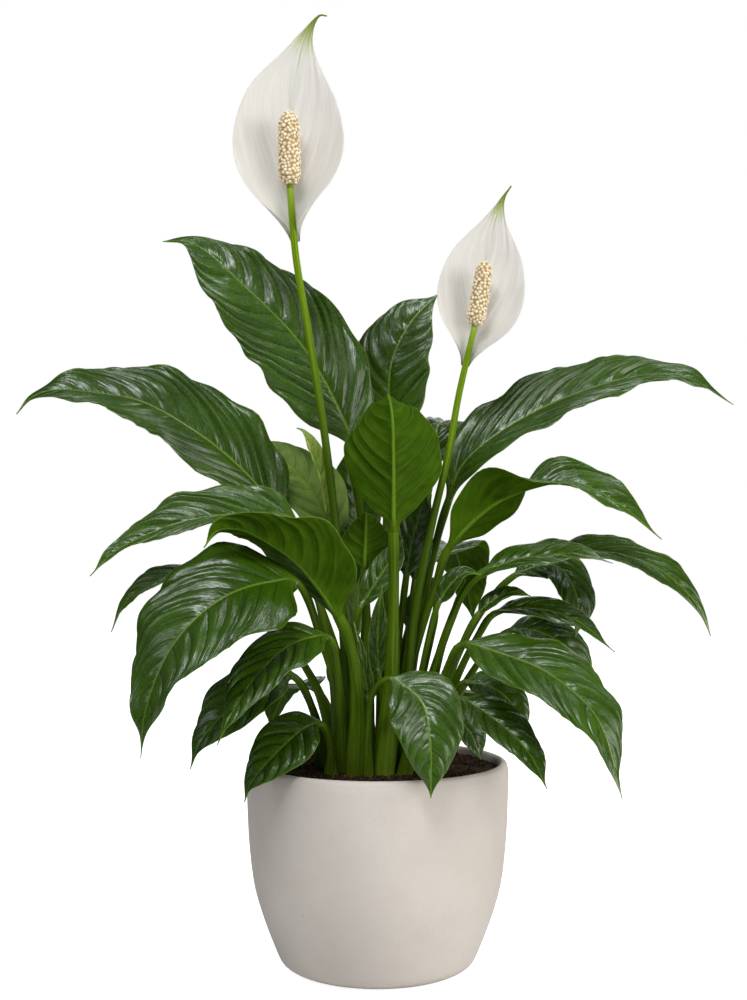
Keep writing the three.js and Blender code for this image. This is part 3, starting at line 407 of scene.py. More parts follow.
class Route:
    """A smooth curve through points, measured by arc length."""

    def __init__(self, points):
        points = np.array(points, float)
        ends = [2 * points[0] - points[1], *points, 2 * points[-1] - points[-2]]
        fine = [points[0]]
        for p0, p1, p2, p3 in zip(ends, ends[1:], ends[2:], ends[3:]):
            d0, d1, d2 = (np.linalg.norm(b - a) ** 0.5 for a, b in ((p0, p1), (p1, p2), (p2, p3)))
            start = ((p1 - p0) / d0 - (p2 - p0) / (d0 + d1) + (p2 - p1) / d1) * d1
            end = ((p2 - p1) / d1 - (p3 - p1) / (d1 + d2) + (p3 - p2) / d2) * d1
            k = (np.arange(1, ROUTE_STEPS + 1) / ROUTE_STEPS)[:, None]
            bend = (2 * p1 - 2 * p2 + start + end) * k**3
            fine.extend(bend + (3 * p2 - 3 * p1 - 2 * start - end) * k**2 + start * k + p1)
        self.fine = np.array(fine)
        steps = np.linalg.norm(np.diff(self.fine, axis=0), axis=1)
        self.reach = np.concatenate([[0], np.cumsum(steps)])
        self.total = self.reach[-1]

    def reached(self, index):
        return self.reach[ROUTE_STEPS * index]

    def at(self, length):
        return between(length, self.reach, self.fine)

    def along(self, length):
        ahead = self.at(np.minimum(length + ROUTE_LOOK, self.total))
        return unit(ahead - self.at(np.maximum(length - ROUTE_LOOK, 0)))

    def beside(self, length, across, x, normal, y):
        """The place at a length along the curve, then x one way and y the other."""
        return self.at(length) + across * x[..., None] + normal * y[..., None]


def stem_route(root, points):
    """A curve from a stem's end down in the soil, through its root and up along the points."""
    root = np.array([*root, SOIL_TOP], float)
    lean = root - np.array(points[0], float)
    return Route([root + lean * STEM_DEPTH / np.linalg.norm(lean), root, *points])


def facing(faces, t, along):
    """The way a face looks at t, square to the path there, and the way across it."""
    faces = np.array(faces, float)
    normal = square_to(between(t, np.linspace(0, 1, len(faces)), faces), along)
    return normal, np.cross(along, normal)


def spread(t, widest, base, tail):
    """How wide a blade is at t, from its base to its slender tail, as a share of its greatest width."""
    t = np.clip(t, 1e-6, 1 - 1e-9)
    tip = base * (1 - widest) / widest
    start, pinch = tail
    return (1 - pinch * smooth(start, 1, t)) * (t / widest) ** base * ((1 - t) / (1 - widest)) ** tip


def both_sides(top, under=None):
    """Values of a skin's closed rings, each along the top side and back along the underside."""
    return np.concatenate([top, (top if under is None else under)[:, ::-1]], axis=1)


def turns(count):
    """Each spot of a closed ring, with the one after it."""
    return [(j, (j + 1) % count) for j in range(count)]


def band(a, b, count):
    """Quads between two closed rings of points that start at a and b."""
    return [(a + j, a + k, b + k, b + j) for j, k in turns(count)]


def tube(rows, count):
    return [face for i in range(rows - 1) for face in band(i * count, (i + 1) * count, count)]


def skin_faces(rows, count):
    """Quads over the closed rings of a skin, and over its flat ends."""
    faces, last = tube(rows, count), (rows - 1) * count
    for j in range(count // 2 - 1):
        under = count - 1 - j
        faces.append((under, under - 1, j + 1, j))
        faces.append((last + j, last + j + 1, last + under - 1, last + under))
    return faces


def column_faces(rows, count):
    """Quads over closed rings, and fans to a point at each end, which follow the rings."""
    faces, low, last = tube(rows, count), rows * count, (rows - 1) * count
    for j, k in turns(count):
        faces += [(low, k, j), (low + 1, last + j, last + k)]
    return faces


def put(name, data):
    """A new object with the given mesh, light or camera."""
    made = bpy.data.objects.new(name, data)
    bpy.context.collection.objects.link(made)
    return made


def build(name, slot, points, faces, materials, **fields):
    """A smooth closed mesh from points in millimetres. One named NODE_fine stands for that node."""
    mesh = bpy.data.meshes.new(name)
    mesh.from_pydata((np.asarray(points) * MM).tolist(), [], faces)
    mesh.shade_smooth()
    for field, values in fields.items():
        layer = mesh.attributes.new(field, "FLOAT", "POINT")
        layer.data.foreach_set("value", np.ascontiguousarray(values, np.float32).ravel())
    for material in materials:
        mesh.materials.append(material)
    made = put(name, mesh)
    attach(made, "root")
    node, fine, _ = name.partition("_fine")
    if fine:
        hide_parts(node)
    return made


# Materials. A colour is red, green and blue as they look, 0 to 255.


def linear(colour):
    """The colour as a shader takes it. A socket stays as it is."""
    if isinstance(colour, bpy.types.NodeSocket):
        return colour
    shares = (c / 255 for c in colour)
    return (*(c / 12.92 if c <= 0.04045 else ((c + 0.055) / 1.055) ** 2.4 for c in shares), 1)


class Look:
    """The nodes of a material or a world, with short ways to add and join them."""

    def __init__(self, owner):
        self.owner = owner
        self.owner.use_nodes = True
        self.tree = self.owner.node_tree
        self.tree.nodes.clear()

    def add(self, kind, inputs, **settings):
        """A node with its settings, and inputs by name or number as sockets or values."""
        node = self.tree.nodes.new("ShaderNode" + kind)
        for setting, value in settings.items():
            setattr(node, setting, value)
        for key, value in inputs.items():
            if isinstance(value, bpy.types.NodeSocket):
                self.tree.links.new(value, node.inputs[key])
            else:
                node.inputs[key].default_value = value
        return node

    def fields(self, *names):
        return [self.add("Attribute", {}, attribute_name=name).outputs["Fac"] for name in names]

    def place(self):
        return self.add("TexCoord", {}).outputs["Object"]

    def seen(self):
        return self.add("LightPath", {}).outputs["Is Camera Ray"]

    def math(self, operation, a, b=0.0):
        return self.add("Math", {0: a, 1: b}, operation=operation).outputs[0]

    def times(self, a, b):
        return self.math("MULTIPLY", a, b)

    def step(self, value, start, end, low=0.0, high=1.0):
        """A smooth step from low to high as value goes from start to end."""
        inputs = {"Value": value, "From Min": start, "From Max": end, "To Min": low, "To Max": high}
        return self.add("MapRange", inputs, interpolation_type="SMOOTHSTEP").outputs["Result"]

    def mix(self, share, a, b):
        inputs = {0: share, 6: linear(a), 7: linear(b)}
        return self.add("Mix", inputs, data_type="RGBA").outputs[2]

    def tint(self, colour, other, value, *step):
        """The colour, which turns into the other over a step of the value."""
        return self.mix(self.step(value, *step), colour, other)

    def noise(self, where, scale, detail=2.0, roughness=0.5):
        inputs = {"Vector": where, "Scale": scale, "Detail": detail, "Roughness": roughness}
        return self.add("TexNoise", inputs).outputs["Fac"]

    def strands(self, x, x_scale, y, y_scale, z=0.0, detail=3):
        """Noise laid over two fields, so that it runs along a blade or a stem."""
        where = self.add("CombineXYZ", {0: self.times(x, x_scale), 1: self.times(y, y_scale), 2: z})
        return self.noise(where.outputs[0], 1.0, detail)

    def bump(self, height, distance):
        """Relief of up to distance metres."""
        return self.add("Bump", {"Height": height, "Strength": 1.0, "Distance": distance}).outputs[0]

    def surface(self, colour, roughness, normal, specular=0.5):
        return self.add("BsdfPrincipled", {
            "Base Color": colour, "Roughness": roughness, "Normal": normal,
            "Specular IOR Level": specular,
        }).outputs[0]

    def thin(self, shader, colour, normal, share):
        """The shader with a share of the light that falls on the far side coming through."""
        through = self.add("BsdfTranslucent", {"Color": colour, "Normal": normal}).outputs[0]
        return self.add("MixShader", {0: share, 1: shader, 2: through}).outputs[0]

    def finish(self, shader, kind="Material"):
        self.add("Output" + kind, {"Surface": shader})
        return self.owner


# A side's darker and lighter green, and the colour and strength of its side veins.
# A vein colour darker than its side's greens is painted shade in the sunken side veins.
LEAF_COLOURS = {
    "leaf green above": ((40, 66, 4), (64, 98, 10), (24, 44, 0), 0.6),
    "leaf green below": ((38, 63, 0), (73, 107, 4), (82, 114, 24), 0.2),
    "pale leaf green above": ((74, 98, 36), (130, 156, 78), (66, 92, 32), 0.5),
    "pale leaf green below": ((84, 112, 38), (116, 142, 62), (100, 130, 50), 0.2),
    # The young leaf's greens: a young leaf's paler green, made much lighter still as painted light.
    "young leaf green above": ((138, 166, 58), (176, 196, 100), (196, 210, 130), 0.3),
    "young leaf green below": ((146, 172, 70), (180, 198, 108), (196, 210, 130), 0.3),
}
MIDRIB_GREEN = (104, 136, 36)
EDGE_GREEN = (120, 148, 66)
GLOW_GREEN = (110, 160, 6)
SPATHE_WHITES = ((239, 236, 231), (230, 226, 218))
SPATHE_VEIN_GREEN = (150, 176, 84)


def stalk_green(look):
    """Strands along a stalk, which is paler at the soil and next to the blade."""
    turn, grown, tone = look.fields("turn", "grown", "tone")
    strands = look.strands(turn, 5, grown, 3, tone)
    colour = look.tint((44, 66, 0), (78, 104, 6), strands, 0.3, 0.72)
    colour = look.tint(colour, (96, 120, 20), grown, 0.5, 0.02, 0, 0.55)
    return look.tint(colour, (84, 114, 16), grown, 0.9, 1.0, 0, 0.4)


def leaf_look(name, glossy):
    """One side of a blade: pale midrib, sunken side veins with painted shade above, and a thin pale edge."""
    look = Look(bpy.data.materials.new(name))
    vein, side, edge, mid, flat, tone = look.fields("vein", "side", "edge", "mid", "flat", "tone")
    where = look.place()
    clouds, leathery, fine = look.noise(where, 22, 3), look.noise(where, 150), look.noise(where, 420, 3)
    streaks = look.strands(vein, 4.5, side, 1.5, detail=2)
    dark, light, groove, strength = LEAF_COLOURS[name]
    shade = look.math("ADD", look.times(tone, 0.5), look.step(clouds, 0.32, 0.68, 0, 0.5))
    blade = look.mix(shade, dark, light)
    blade = look.tint(blade, light, streaks, 0.35, 0.8, 0, 0.3 if glossy else 0.55)
    blade = look.tint(blade, dark, leathery, 0.42, 0.7, 0, 0.3)
    # The vein colour runs along each side vein; where it is darker, above, it is painted shade in the groove.
    line = look.math("ABSOLUTE", look.math("SUBTRACT", look.math("FRACT", vein), 0.5))
    on_vein = look.times(look.step(line, 0.4, 0.495), look.step(edge, 0.5, 6, 0, strength))
    blade = look.mix(on_vein, blade, groove)
    blade = look.tint(blade, MIDRIB_GREEN, mid, 0.9, 0.35, 0, 0.85)
    blade = look.tint(blade, EDGE_GREEN, edge, 0.6, 0.1, 0, 0.7)
    colour = look.tint(stalk_green(look), blade, flat, 0.1, 0.9)
    rough = look.step(fine, 0.3, 0.7, *((0.23, 0.33) if glossy else (0.6, 0.7)))
    height = look.math("ADD", streaks, look.times(leathery, 0.2))
    normal = look.bump(look.times(height, look.step(edge, 0.5, 5)), 0.0008)
    shader = look.surface(colour, rough, normal, 0.55 if glossy else 0.06)
    return look.finish(look.thin(shader, look.mix(0.5, colour, GLOW_GREEN), normal, 0.18))


def stalk_look():
    look = Look(bpy.data.materials.new("stalk green"))
    normal = look.bump(look.noise(look.place(), 300, 3), 0.0002)
    return look.finish(look.surface(stalk_green(look), 0.55, normal, 0.09))


def scape_look():
    """Fine strands, dark low down and pale close to the flower."""
    look = Look(bpy.data.materials.new("scape green"))
    turn, grown = look.fields("turn", "grown")
    strands = look.strands(turn, 6, grown, 5)
    colour = look.tint((72, 102, 0), (122, 154, 16), strands, 0.35, 0.65)
    colour = look.tint(colour, (44, 68, 0), grown, 0.9, 0.45, 0, 0.88)
    colour = look.tint(colour, (158, 178, 64), grown, 0.94, 1.0, 0, 0.5)
    return look.finish(look.surface(colour, 0.48, look.bump(strands, 0.0003), 0.12))


def spathe_look():
    """White and thin, with soft veins, and green at its tip, foot and upper midrib."""
    look = Look(bpy.data.materials.new("spathe white"))
    ridge, reach, side, under = look.fields("ridge", "reach", "side", "under")
    away = look.math("ABSOLUTE", side)
    fibres = look.strands(ridge, 6, reach, 4, detail=4)
    colour = look.tint(*SPATHE_WHITES, fibres, 0.3, 0.8)
    height = look.math("ADD", reach, look.step(fibres, 0.4, 0.62, 0, 0.07))
    colour = look.tint(colour, (186, 198, 84), height, 0.82, 0.94, 0, 0.85)
    colour = look.tint(colour, (112, 140, 0), height, 0.89, 0.99)
    front = look.times(look.step(away, 0.05, 0.0, 0, 0.55), look.step(reach, 0.6, 0.92))
    back = look.times(look.step(away, 0.09, 0.0, 0, 0.75), under)
    colour = look.mix(look.math("MAXIMUM", front, back), colour, SPATHE_VEIN_GREEN)
    foot = look.times(look.step(reach, 0.1, 0.0), look.step(away, 0.6, 1.0, 0.1, 0.8))
    colour = look.mix(foot, colour, SPATHE_VEIN_GREEN)
    edge = look.times(look.step(away, 0.97, 1.0), look.step(reach, 0.78, 0.94, 0, 0.9))
    colour = look.mix(edge, colour, (112, 150, 34))
    normal = look.bump(look.times(fibres, look.step(reach, 0.95, 0.6)), 0.0003)
    return look.finish(look.thin(look.surface(colour, 0.55, normal), colour, normal, 0.4))


def spadix_look():
    """Cream knobs, paler on top as painted highlight, with painted shade in the gaps between them."""
    look = Look(bpy.data.materials.new("spadix cream"))
    (knob,) = look.fields("knob")
    grains = look.noise(look.place(), 900)
    # Painted light from the knob height: brown painted shade in the gaps, a painted highlight on the tops.
    colour = look.tint((160, 130, 82), (224, 206, 168), knob, 0.05, 0.55)
    colour = look.tint(colour, (247, 238, 216), knob, 0.5, 0.95)
    colour = look.tint(colour, (222, 204, 162), grains, 0.45, 0.8, 0, 0.2)
    return look.finish(look.surface(colour, 0.6, look.bump(grains, 0.0001)))


def pot_look():
    """Matte stoneware with soft warm clouds, a fine grain and a few dark specks."""
    look = Look(bpy.data.materials.new("matte stoneware"))
    where = look.place()
    clouds, grain = look.noise(where, 14, 5, 0.6), look.noise(where, 900)
    colour = look.tint((201, 191, 182), (211, 203, 194), clouds, 0.25, 0.78)
    colour = look.tint(colour, (195, 186, 176), grain, 0.3, 0.75, 0, 0.35)
    cells = look.add("TexVoronoi", {"Vector": where, "Scale": 110.0}, feature="F1").outputs
    chosen = look.step(look.add("SeparateColor", {0: cells["Color"]}).outputs[0], 0.9, 0.93)
    specks = look.times(look.step(cells["Distance"], 0.09, 0.03, 0, 0.55), chosen)
    colour = look.mix(specks, colour, (120, 112, 104))
    normal = look.bump(look.math("ADD", look.times(clouds, 1.2), look.times(grain, 0.35)), 0.0004)
    return look.finish(look.surface(colour, look.step(grain, 0.2, 0.8, 0.66, 0.82), normal))


def soil_look():
    """Dark earth, with crumbs of several browns."""
    look = Look(bpy.data.materials.new("potting soil"))
    coarse = look.noise(look.place(), 260, 4, 0.65)
    (tint,) = look.fields("tint")
    colour = look.tint((17, 10, 6), (66, 46, 30), coarse, 0.3, 0.75)
    colour = look.tint(colour, (100, 72, 48), tint, 0.6, 1.0)
    return look.finish(look.surface(colour, 0.9, look.bump(coarse, 0.0012), 0.15))


# Leaves


def vein_rows(veins, index):
    """Rows across a blade, counted in side veins, and how far along the midrib each one starts."""
    count = np.arange(veins * VEIN_ROWS + 1) / VEIN_ROWS
    uneven = VEIN_UNEVEN * count * np.sin(2.1 * count + 1.3 * index) / veins
    start = count**VEIN_CROWD + uneven
    return count, start / start[-1]


def leaf(name, spec, index, materials, tone):
    """A stalk that opens into a blade whose rows follow the side veins from midrib to edge.

    Sines with odd factors of the index, the count of veins and the place keep all of them unlike.
    """
    path = stem_route(spec.root, [*spec.stalk, *spec.rib])
    ground, base = path.reached(1), path.reached(2 + len(spec.stalk))
    blade = path.total - base
    slim = SLIM_SHARE * spec.stem + SLIM_LEAST
    veins = round(FEWEST_VEINS + blade / VEIN_SPACING)
    spacing = blade / veins
    count, start = vein_rows(veins, index)
    s = np.array([-x for x in reversed(SIDE_SPOTS)] + [0.0] + list(SIDE_SPOTS))
    away, right = np.abs(s), s > 0

    # Along the midrib, each row starts where its vein does, and its ends lie further towards the tip.
    ahead = smooth(0, FAN_VEINS, count) * (1 - start**2)
    t = start[:, None] + ahead[:, None] * (VEIN_LEAN * away + VEIN_CURVE * away**2)
    bare_rows = max(STALK_ROWS_LEAST, round((base - ground) / STALK_ROW))
    bare = np.concatenate([[0], np.linspace(ground, base, bare_rows, endpoint=False)])
    t = np.concatenate([np.zeros((len(bare), len(s))), t * (1 - TIP_GAP / blade)])
    stop = np.concatenate([np.repeat(bare[:, None], len(s), axis=1), base + t[len(bare):] * blade])
    count = np.concatenate([np.full(len(bare), -1.0), count])[:, None] + 0.5 * right

    normal, across = facing(spec.faces, t, path.along(stop))

    grown = np.minimum(stop / base, 1)
    stalk = mix(spec.stem, slim, smooth(SHEATH, SLIM_FROM, grown))
    knee = KNEE * bell(stop - base + KNEE_BELOW, KNEE_LENGTH)
    stalk = stalk * (1 + knee + FOOT_SWELL * smooth(0.02, 0.1, grown) * smooth(0.5, 0.25, grown))
    round_part = mix(stalk, ROUND_END, smooth(0, 0.6, t))
    share = spread(t, spec.widest, spec.full, LEAF_TAIL)
    half = np.hypot(0.5 * spec.width * share, mix(round_part, TIP_HALF, t))
    wave = YOUNG_WAVE if spec.young else min(WAVE_SHARE * spec.width, WAVE_MOST)
    ripple = wave * smooth(0, 0.3, t) * smooth(0, 0.15, 1 - t)
    turned = TURN * t * blade / WAVE_LENGTH + WAVE_TURN * index
    scallops = np.sin(TURN * t * blade / SCALLOP_LENGTH + 1.3 * index + 2 * right)
    half = half * (1 + SCALLOP * away**4 * scallops * smooth(0, 0.2, 1 - t))
    opened = np.radians(mix(*spec.fold, t))

    def section(x):
        """How far a point of the section lies from the midrib, across and up."""
        size = np.hypot(x, CREASE) - CREASE
        lift = size * half * np.sin(opened) - DROOP * half * x * x
        later = np.where(x > 0, 0, EDGE_TURN)
        finer = 0.5 * size**3 * np.sin(FINER_WAVE * turned + 2 * later)
        swell = ripple * (x * x * np.sin(turned + later) + finer)
        return x * half * np.cos(opened), lift + swell

    u, v = section(s)
    before, after = section(s - 0.02), section(s + 0.02)
    slope = np.arctan2(after[1] - before[1], after[0] - before[0])

    # The blade swells up between sunken side veins, and sinks along the midrib.
    within = smooth(0.02, 0.2, away) * (1 - 0.5 * smooth(0.75, 1, away)) * share**0.5
    swelling = within * smooth(0.02, 0.15, t) * smooth(0.01, 0.3, 1 - t)
    uneven = 1 + UNEVEN * np.sin(1.9 * count + 1.7 * index + 2 * right)
    uneven = uneven * (1 + UNEVEN * np.sin(3.4 * away + 2.3 * count + index))
    pleat = PLEAT * spacing * swelling * uneven
    pleat = pleat * (np.abs(np.sin(math.pi * count)) ** 0.8 - PLEAT_LEVEL)
    quilt = np.sin(0.9 * turned + 5 * s + index) + 0.7 * np.sin(2.1 * turned - 7 * s + 2 * index)
    pleat = pleat + QUILT * swelling * quilt
    groove = -GROOVE * (1 - 0.6 * t) * bell(s * half, GROOVE_WIDTH) * smooth(0, 0.1, t)
    rib = mix(MIDRIB * slim, 0.15, np.sqrt(t)) * bell(s * half, 0.45 * slim + 0.5)
    thick = BLADE * (1 - 0.5 * away**6) + rib
    flat = np.where(t > 0, smooth(-0.02, 0.13, t), 0)

    # A stalk is round, with a groove along its upper side that is widest where it sheathes.
    spots = (np.arange(len(s)) + 0.5) / len(s)
    sheath = smooth(0.45, 0.05, grown)
    sides, angles = [], []
    for top in (True, False):
        angle = math.pi * (1 - spots if top else 1 + spots)
        turn = np.degrees(angle) - 90
        dip = (DIP + SHEATH_DIP * sheath) * bell(turn, DIP_TURN)
        wings = bell(turn - WING_AT, WING_TURN) + bell(turn + WING_AT, WING_TURN)
        wings = (WING + SHEATH_WING * sheath) * wings
        ribs = STALK_RIB * np.cos(STALK_RIBS * angle + 1.7 * index) * smooth(0, 0.1, grown)
        radius = round_part * (1 - dip + wings + ribs)
        lift = pleat + groove if top else pleat - thick
        x = mix(radius * np.cos(angle), u - lift * np.sin(slope), flat)
        y = mix(radius * np.sin(angle), v + lift * np.cos(slope), flat)
        sides.append(path.beside(stop, across, x, normal, y))
        angles.append(np.broadcast_to(angle, t.shape))

    rows, ring = len(t), 2 * len(s)
    made = build(
        name + "_fine", "young_leaf" if spec.young else "leaf",
        both_sides(*sides).reshape(-1, 3), skin_faces(rows, ring), materials,
        vein=both_sides(count), side=both_sides(s * half / 20), flat=both_sides(flat),
        grown=both_sides(grown), mid=both_sides(away * half / mix(1.6, 0.6, t)),
        edge=both_sides((1 - away) * half), turn=both_sides(*angles), tone=np.full(rows * ring, tone),
    )
    # The materials are those of the upper side, the underside and the stalk.
    kind = np.zeros((rows - 1, ring), np.int32)
    kind[:, len(s):-1] = 1
    kind[:len(bare)] = 2
    ends = np.zeros(len(made.data.polygons) - kind.size, np.int32)
    made.data.polygons.foreach_set("material_index", np.append(kind, ends))


# Flowers


def scape(name, flower, material):
    path = stem_route(flower.root, flower.scape)
    rows = round(path.total / SCAPE_ROW)
    t = np.linspace(0, 1, rows)[:, None]
    stop = t * path.total
    along = path.along(stop)
    normal = square_to(np.array([0.0, -1.0, 0.0]), along)
    angle = math.pi * (1 - 2 * (np.arange(SCAPE_SIDES) + 0.5) / SCAPE_SIDES)
    radius = mix(flower.stem, flower.top, t) * (1 + SCAPE_RIB * np.sin(SCAPE_RIBS * angle + 9 * t))
    x, y = radius * np.cos(angle), radius * np.sin(angle)
    points = path.beside(stop, np.cross(along, normal), x, normal, y)
    build(
        f"scape_{name}_fine", "scape", points.reshape(-1, 3), skin_faces(rows, SCAPE_SIDES), [material],
        turn=np.broadcast_to(angle, x.shape), grown=np.broadcast_to(t, x.shape),
    )


def spathe(name, flower, material):
    """It clasps the scape at its foot and opens into a shallow hollow blade with soft ridges."""
    path = Route(flower.rib)
    t = np.linspace(0, 1, SPATHE_ROWS)[:, None]
    even = np.linspace(-1, 1, SPATHE_SIDE)
    s = mix(even, np.sin(even * math.pi / 2), SPATHE_CROWD)
    away, right = np.abs(s), s > 0
    stop = t * path.total
    normal, across = facing(flower.faces, t, path.along(stop))
    share = spread(np.minimum(t, 0.995), flower.widest, SPATHE_FULLNESS, SPATHE_TAIL)
    half = np.hypot(0.5 * flower.width * share, mix(flower.top + 1, 0.6, smooth(0, 0.4, t)))
    hollow = mix(flower.top + 0.9, SPATHE_HOLLOW, smooth(0, 0.45, t))
    turn = s * half / hollow
    ridge = away - 1.3 * t + 0.04 * np.sin(9 * t + 3 * s) + 0.13 * right
    within = smooth(0.12, 0.3, t) * smooth(0, 0.25, 1 - t) * (1 - 0.7 * smooth(0.8, 1, away))
    uneven = 0.7 + 0.5 * np.sin(5 * s + 4 * t) + 0.3 * np.sin(11 * s - 7 * t)
    relief = SPATHE_RELIEF * within * uneven * np.cos(TURN * SPATHE_RIDGES * ridge)
    relief = relief + SPATHE_BILLOW * within * np.sin(TURN * (1.3 * t + 0.35 * s + 0.2 * right)) * s**2
    thick = SPATHE_SHEET * (1 - 0.4 * away**6) + 0.5 * (1 - t) * bell(s * half, SPATHE_RIB_WIDTH)
    sides = []
    for lift in (relief, relief - thick):
        radius = hollow - lift
        x, y = radius * np.sin(turn), hollow - radius * np.cos(turn)
        sides.append(path.beside(stop, across, x, normal, y))
    none = np.zeros(ridge.shape)
    build(
        f"spathe_{name}_fine", "spathe",
        both_sides(*sides).reshape(-1, 3), skin_faces(SPATHE_ROWS, 2 * SPATHE_SIDE), [material],
        ridge=both_sides(ridge * SPATHE_RIDGES), reach=both_sides(none + t), side=both_sides(none + s),
        under=both_sides(none, none + 1),
    )


def spadix(name, flower, material, draw):
    """A rounded column covered with small knobs that stand close together."""
    foot = np.array(flower.scape[-1], float)
    axis = np.array(flower.spadix_top, float) - foot
    length = np.linalg.norm(axis)
    axis /= length
    side = unit(np.cross([1.0, 0.0, 0.0], axis))
    front = np.cross(axis, side)
    low = foot + axis * SPADIX_GAP

    # The outline from foot to tip: a short rounded foot, a slight taper and a domed tip.
    k = np.linspace(0, 1, 400)
    dome = np.sqrt(1 - np.maximum(0, (k - 1 + SPADIX_DOME) / SPADIX_DOME) ** 2)
    wide = flower.spadix * np.minimum(1, SPADIX_FOOT + 3 * k) * dome * (1 - SPADIX_TAPER * k)
    wide = np.concatenate([[0.2], np.maximum(wide - SPADIX_INSET, 0.2)])
    z = np.concatenate([[0], k * (length - SPADIX_END)])
    reach = np.concatenate([[0], np.cumsum(np.hypot(np.diff(z), np.diff(wide)))])

    def surface(at, angle):
        radius, height = np.interp(at, reach, wide), np.interp(at, reach, z)
        out = side * np.sin(angle)[..., None] + front * np.cos(angle)[..., None]
        return low + axis * height[..., None] + out * radius[..., None], out

    # Knobs are placed at random, but never nearer to each other than their gap.
    knobs = []
    for _ in range(FLORET_TRIES):
        at, angle = draw.uniform(FLORET_START, reach[-1]), draw.uniform(0, TURN)
        if draw.random() * flower.spadix > np.interp(at, reach, wide):
            continue
        knob = surface(np.array(at), np.array(angle))[0]
        if not knobs or np.linalg.norm(np.array(knobs) - knob, axis=1).min() > FLORET_GAP:
            knobs.append(knob)
    knobs = np.array(knobs)
    apart = np.sort(np.linalg.norm(knobs[:, None] - knobs[None], axis=2), axis=1)
    sizes = FLORET_SIZE * apart[:, 1:4].mean(axis=1)
    rises = np.array([draw.uniform(*FLORET_RISES) for _ in knobs])

    rows = round(reach[-1] / SPADIX_ROW)
    at = np.linspace(FLORET_START, reach[-1] - 0.05, rows)[:, None] + np.zeros((1, SPADIX_SIDES))
    angle = np.broadcast_to(TURN * np.arange(SPADIX_SIDES) / SPADIX_SIDES, at.shape)
    points, out = (part.reshape(-1, 3) for part in surface(at, angle))
    height = np.zeros(len(points))
    for i, point in enumerate(points):
        gap = np.linalg.norm(point - knobs, axis=1) / sizes
        near = gap.min()
        height[i] = rises[gap.argmin()] * (0.75 * max(0, 1 - near**2) ** 0.5 + 0.25 * bell(near, 0.3))
    lift = unit(out + axis * smooth(0.82, 1, at.reshape(-1) / reach[-1])[:, None] * 1.2)
    points = points + lift * (FLORET_RISE * height)[:, None]
    points = np.concatenate([points, [low, low + axis * (length - SPADIX_END)]])
    height = np.concatenate([height, [0, 1]])
    # The rings run clockwise seen from the tip, so each face is taken the other way round.
    faces = [(first, *reversed(rest)) for first, *rest in column_faces(rows, SPADIX_SIDES)]
    build(f"spadix_{name}_fine", "spadix", points, faces, [material], knob=np.clip(height, 0, 1))


# Pot and soil


def pot_radius(z):
    return np.interp(z, *zip(*POT_PROFILE))


def inner_radius(z):
    return pot_radius(z) - POT_WALL


def lathe(profile, sides):
    """Points and faces of a profile of (height, radius) turned round Z, closed on the axis."""
    angle = TURN * np.arange(sides) / sides
    rings = [np.stack([r * np.cos(angle), r * np.sin(angle), np.full(sides, z)], 1) for z, r in profile]
    points = np.concatenate(rings + [[[0, 0, profile[0][0]]], [[0, 0, profile[-1][0]]]])
    return points, column_faces(len(profile), sides)


def pot(material):
    outer = Route([(0, r, z) for z, r in POT_PROFILE[1:]])
    lip = Route([(0, r, z) for z, r in (*POT_PROFILE[-2:], *LIP_PROFILE)])
    bottom, radius = POT_PROFILE[0]
    profile = [(bottom, radius - 3), (bottom, radius)]
    profile += [(z, r) for _, r, z in outer.at(np.linspace(0, outer.reached(9), 64))]
    profile += [(z, r) for _, r, z in lip.at(np.linspace(0, lip.total, 26)[1:])]
    profile += [(z, inner_radius(z)) for z in (SOIL_EDGE, *WALL_LEVELS)]
    profile += [(FLOOR_LEVEL, FLOOR_RADIUS)]
    points, faces = lathe(profile, POT_SIDES)
    build("pot_fine", "pot", points, faces, [material])


def soil_height(x, y):
    """The soil's surface: a low crown, rough at several sizes."""
    edge = inner_radius(SOIL_EDGE) - SOIL_GAP
    crown = SOIL_TOP - SOIL_DROP + (SOIL_CROWN + SOIL_DROP) * (1 - (x * x + y * y) / edge**2)
    rough = (rise * noise.noise(Vector((x, y, shift)) / length) for rise, length, shift in SOIL_ROUGH)
    return crown + sum(rough)


def soil(material):
    edge = inner_radius(SOIL_EDGE) - SOIL_GAP
    levels = [(z, inner_radius(z) - SOIL_GAP) for z in reversed(WALL_LEVELS)]
    points, faces = lathe(levels + [(SOIL_EDGE - 3, edge)], SOIL_SIDES)
    # The flat top of this body gives way to rings that follow the soil's surface.
    points, faces = list(map(tuple, points)), [f for f in faces if len(points) - 1 not in f]
    rings = [len(levels) * SOIL_SIDES]
    angle = TURN * np.arange(SOIL_SIDES) / SOIL_SIDES
    for i in range(SOIL_RINGS, 0, -1):
        rings.append(len(points))
        r = edge * i / SOIL_RINGS
        for x, y in zip(r * np.cos(angle), r * np.sin(angle)):
            points.append((x, y, soil_height(x, y)))
    points.append((0, 0, soil_height(0, 0)))
    for a, b in zip(rings, rings[1:]):
        faces += band(a, b, SOIL_SIDES)
    faces += [(rings[-1] + j, rings[-1] + k, len(points) - 1) for j, k in turns(SOIL_SIDES)]
    build("soil_fine", "soil", points, faces, [material], tint=np.zeros(len(points)))


def ball():
    """The corners and faces of a regular icosahedron of radius 1."""
    g = (1 + 5**0.5) / 2
    corners = [(0, a, b * g) for a in (-1, 1) for b in (-1, 1)]
    corners = unit(np.array([c[i:] + c[:i] for i in range(3) for c in corners], float))
    faces = []
    for i, j, k in combinations(range(12), 3):
        a, b, c = corners[i], corners[j], corners[k]
        if max(np.linalg.norm(side) for side in (a - b, b - c, c - a)) < BALL_SIDE_MOST:
            outward = np.dot(np.cross(b - a, c - a), a) > 0
            faces.append((i, j, k) if outward else (i, k, j))
    return corners, faces


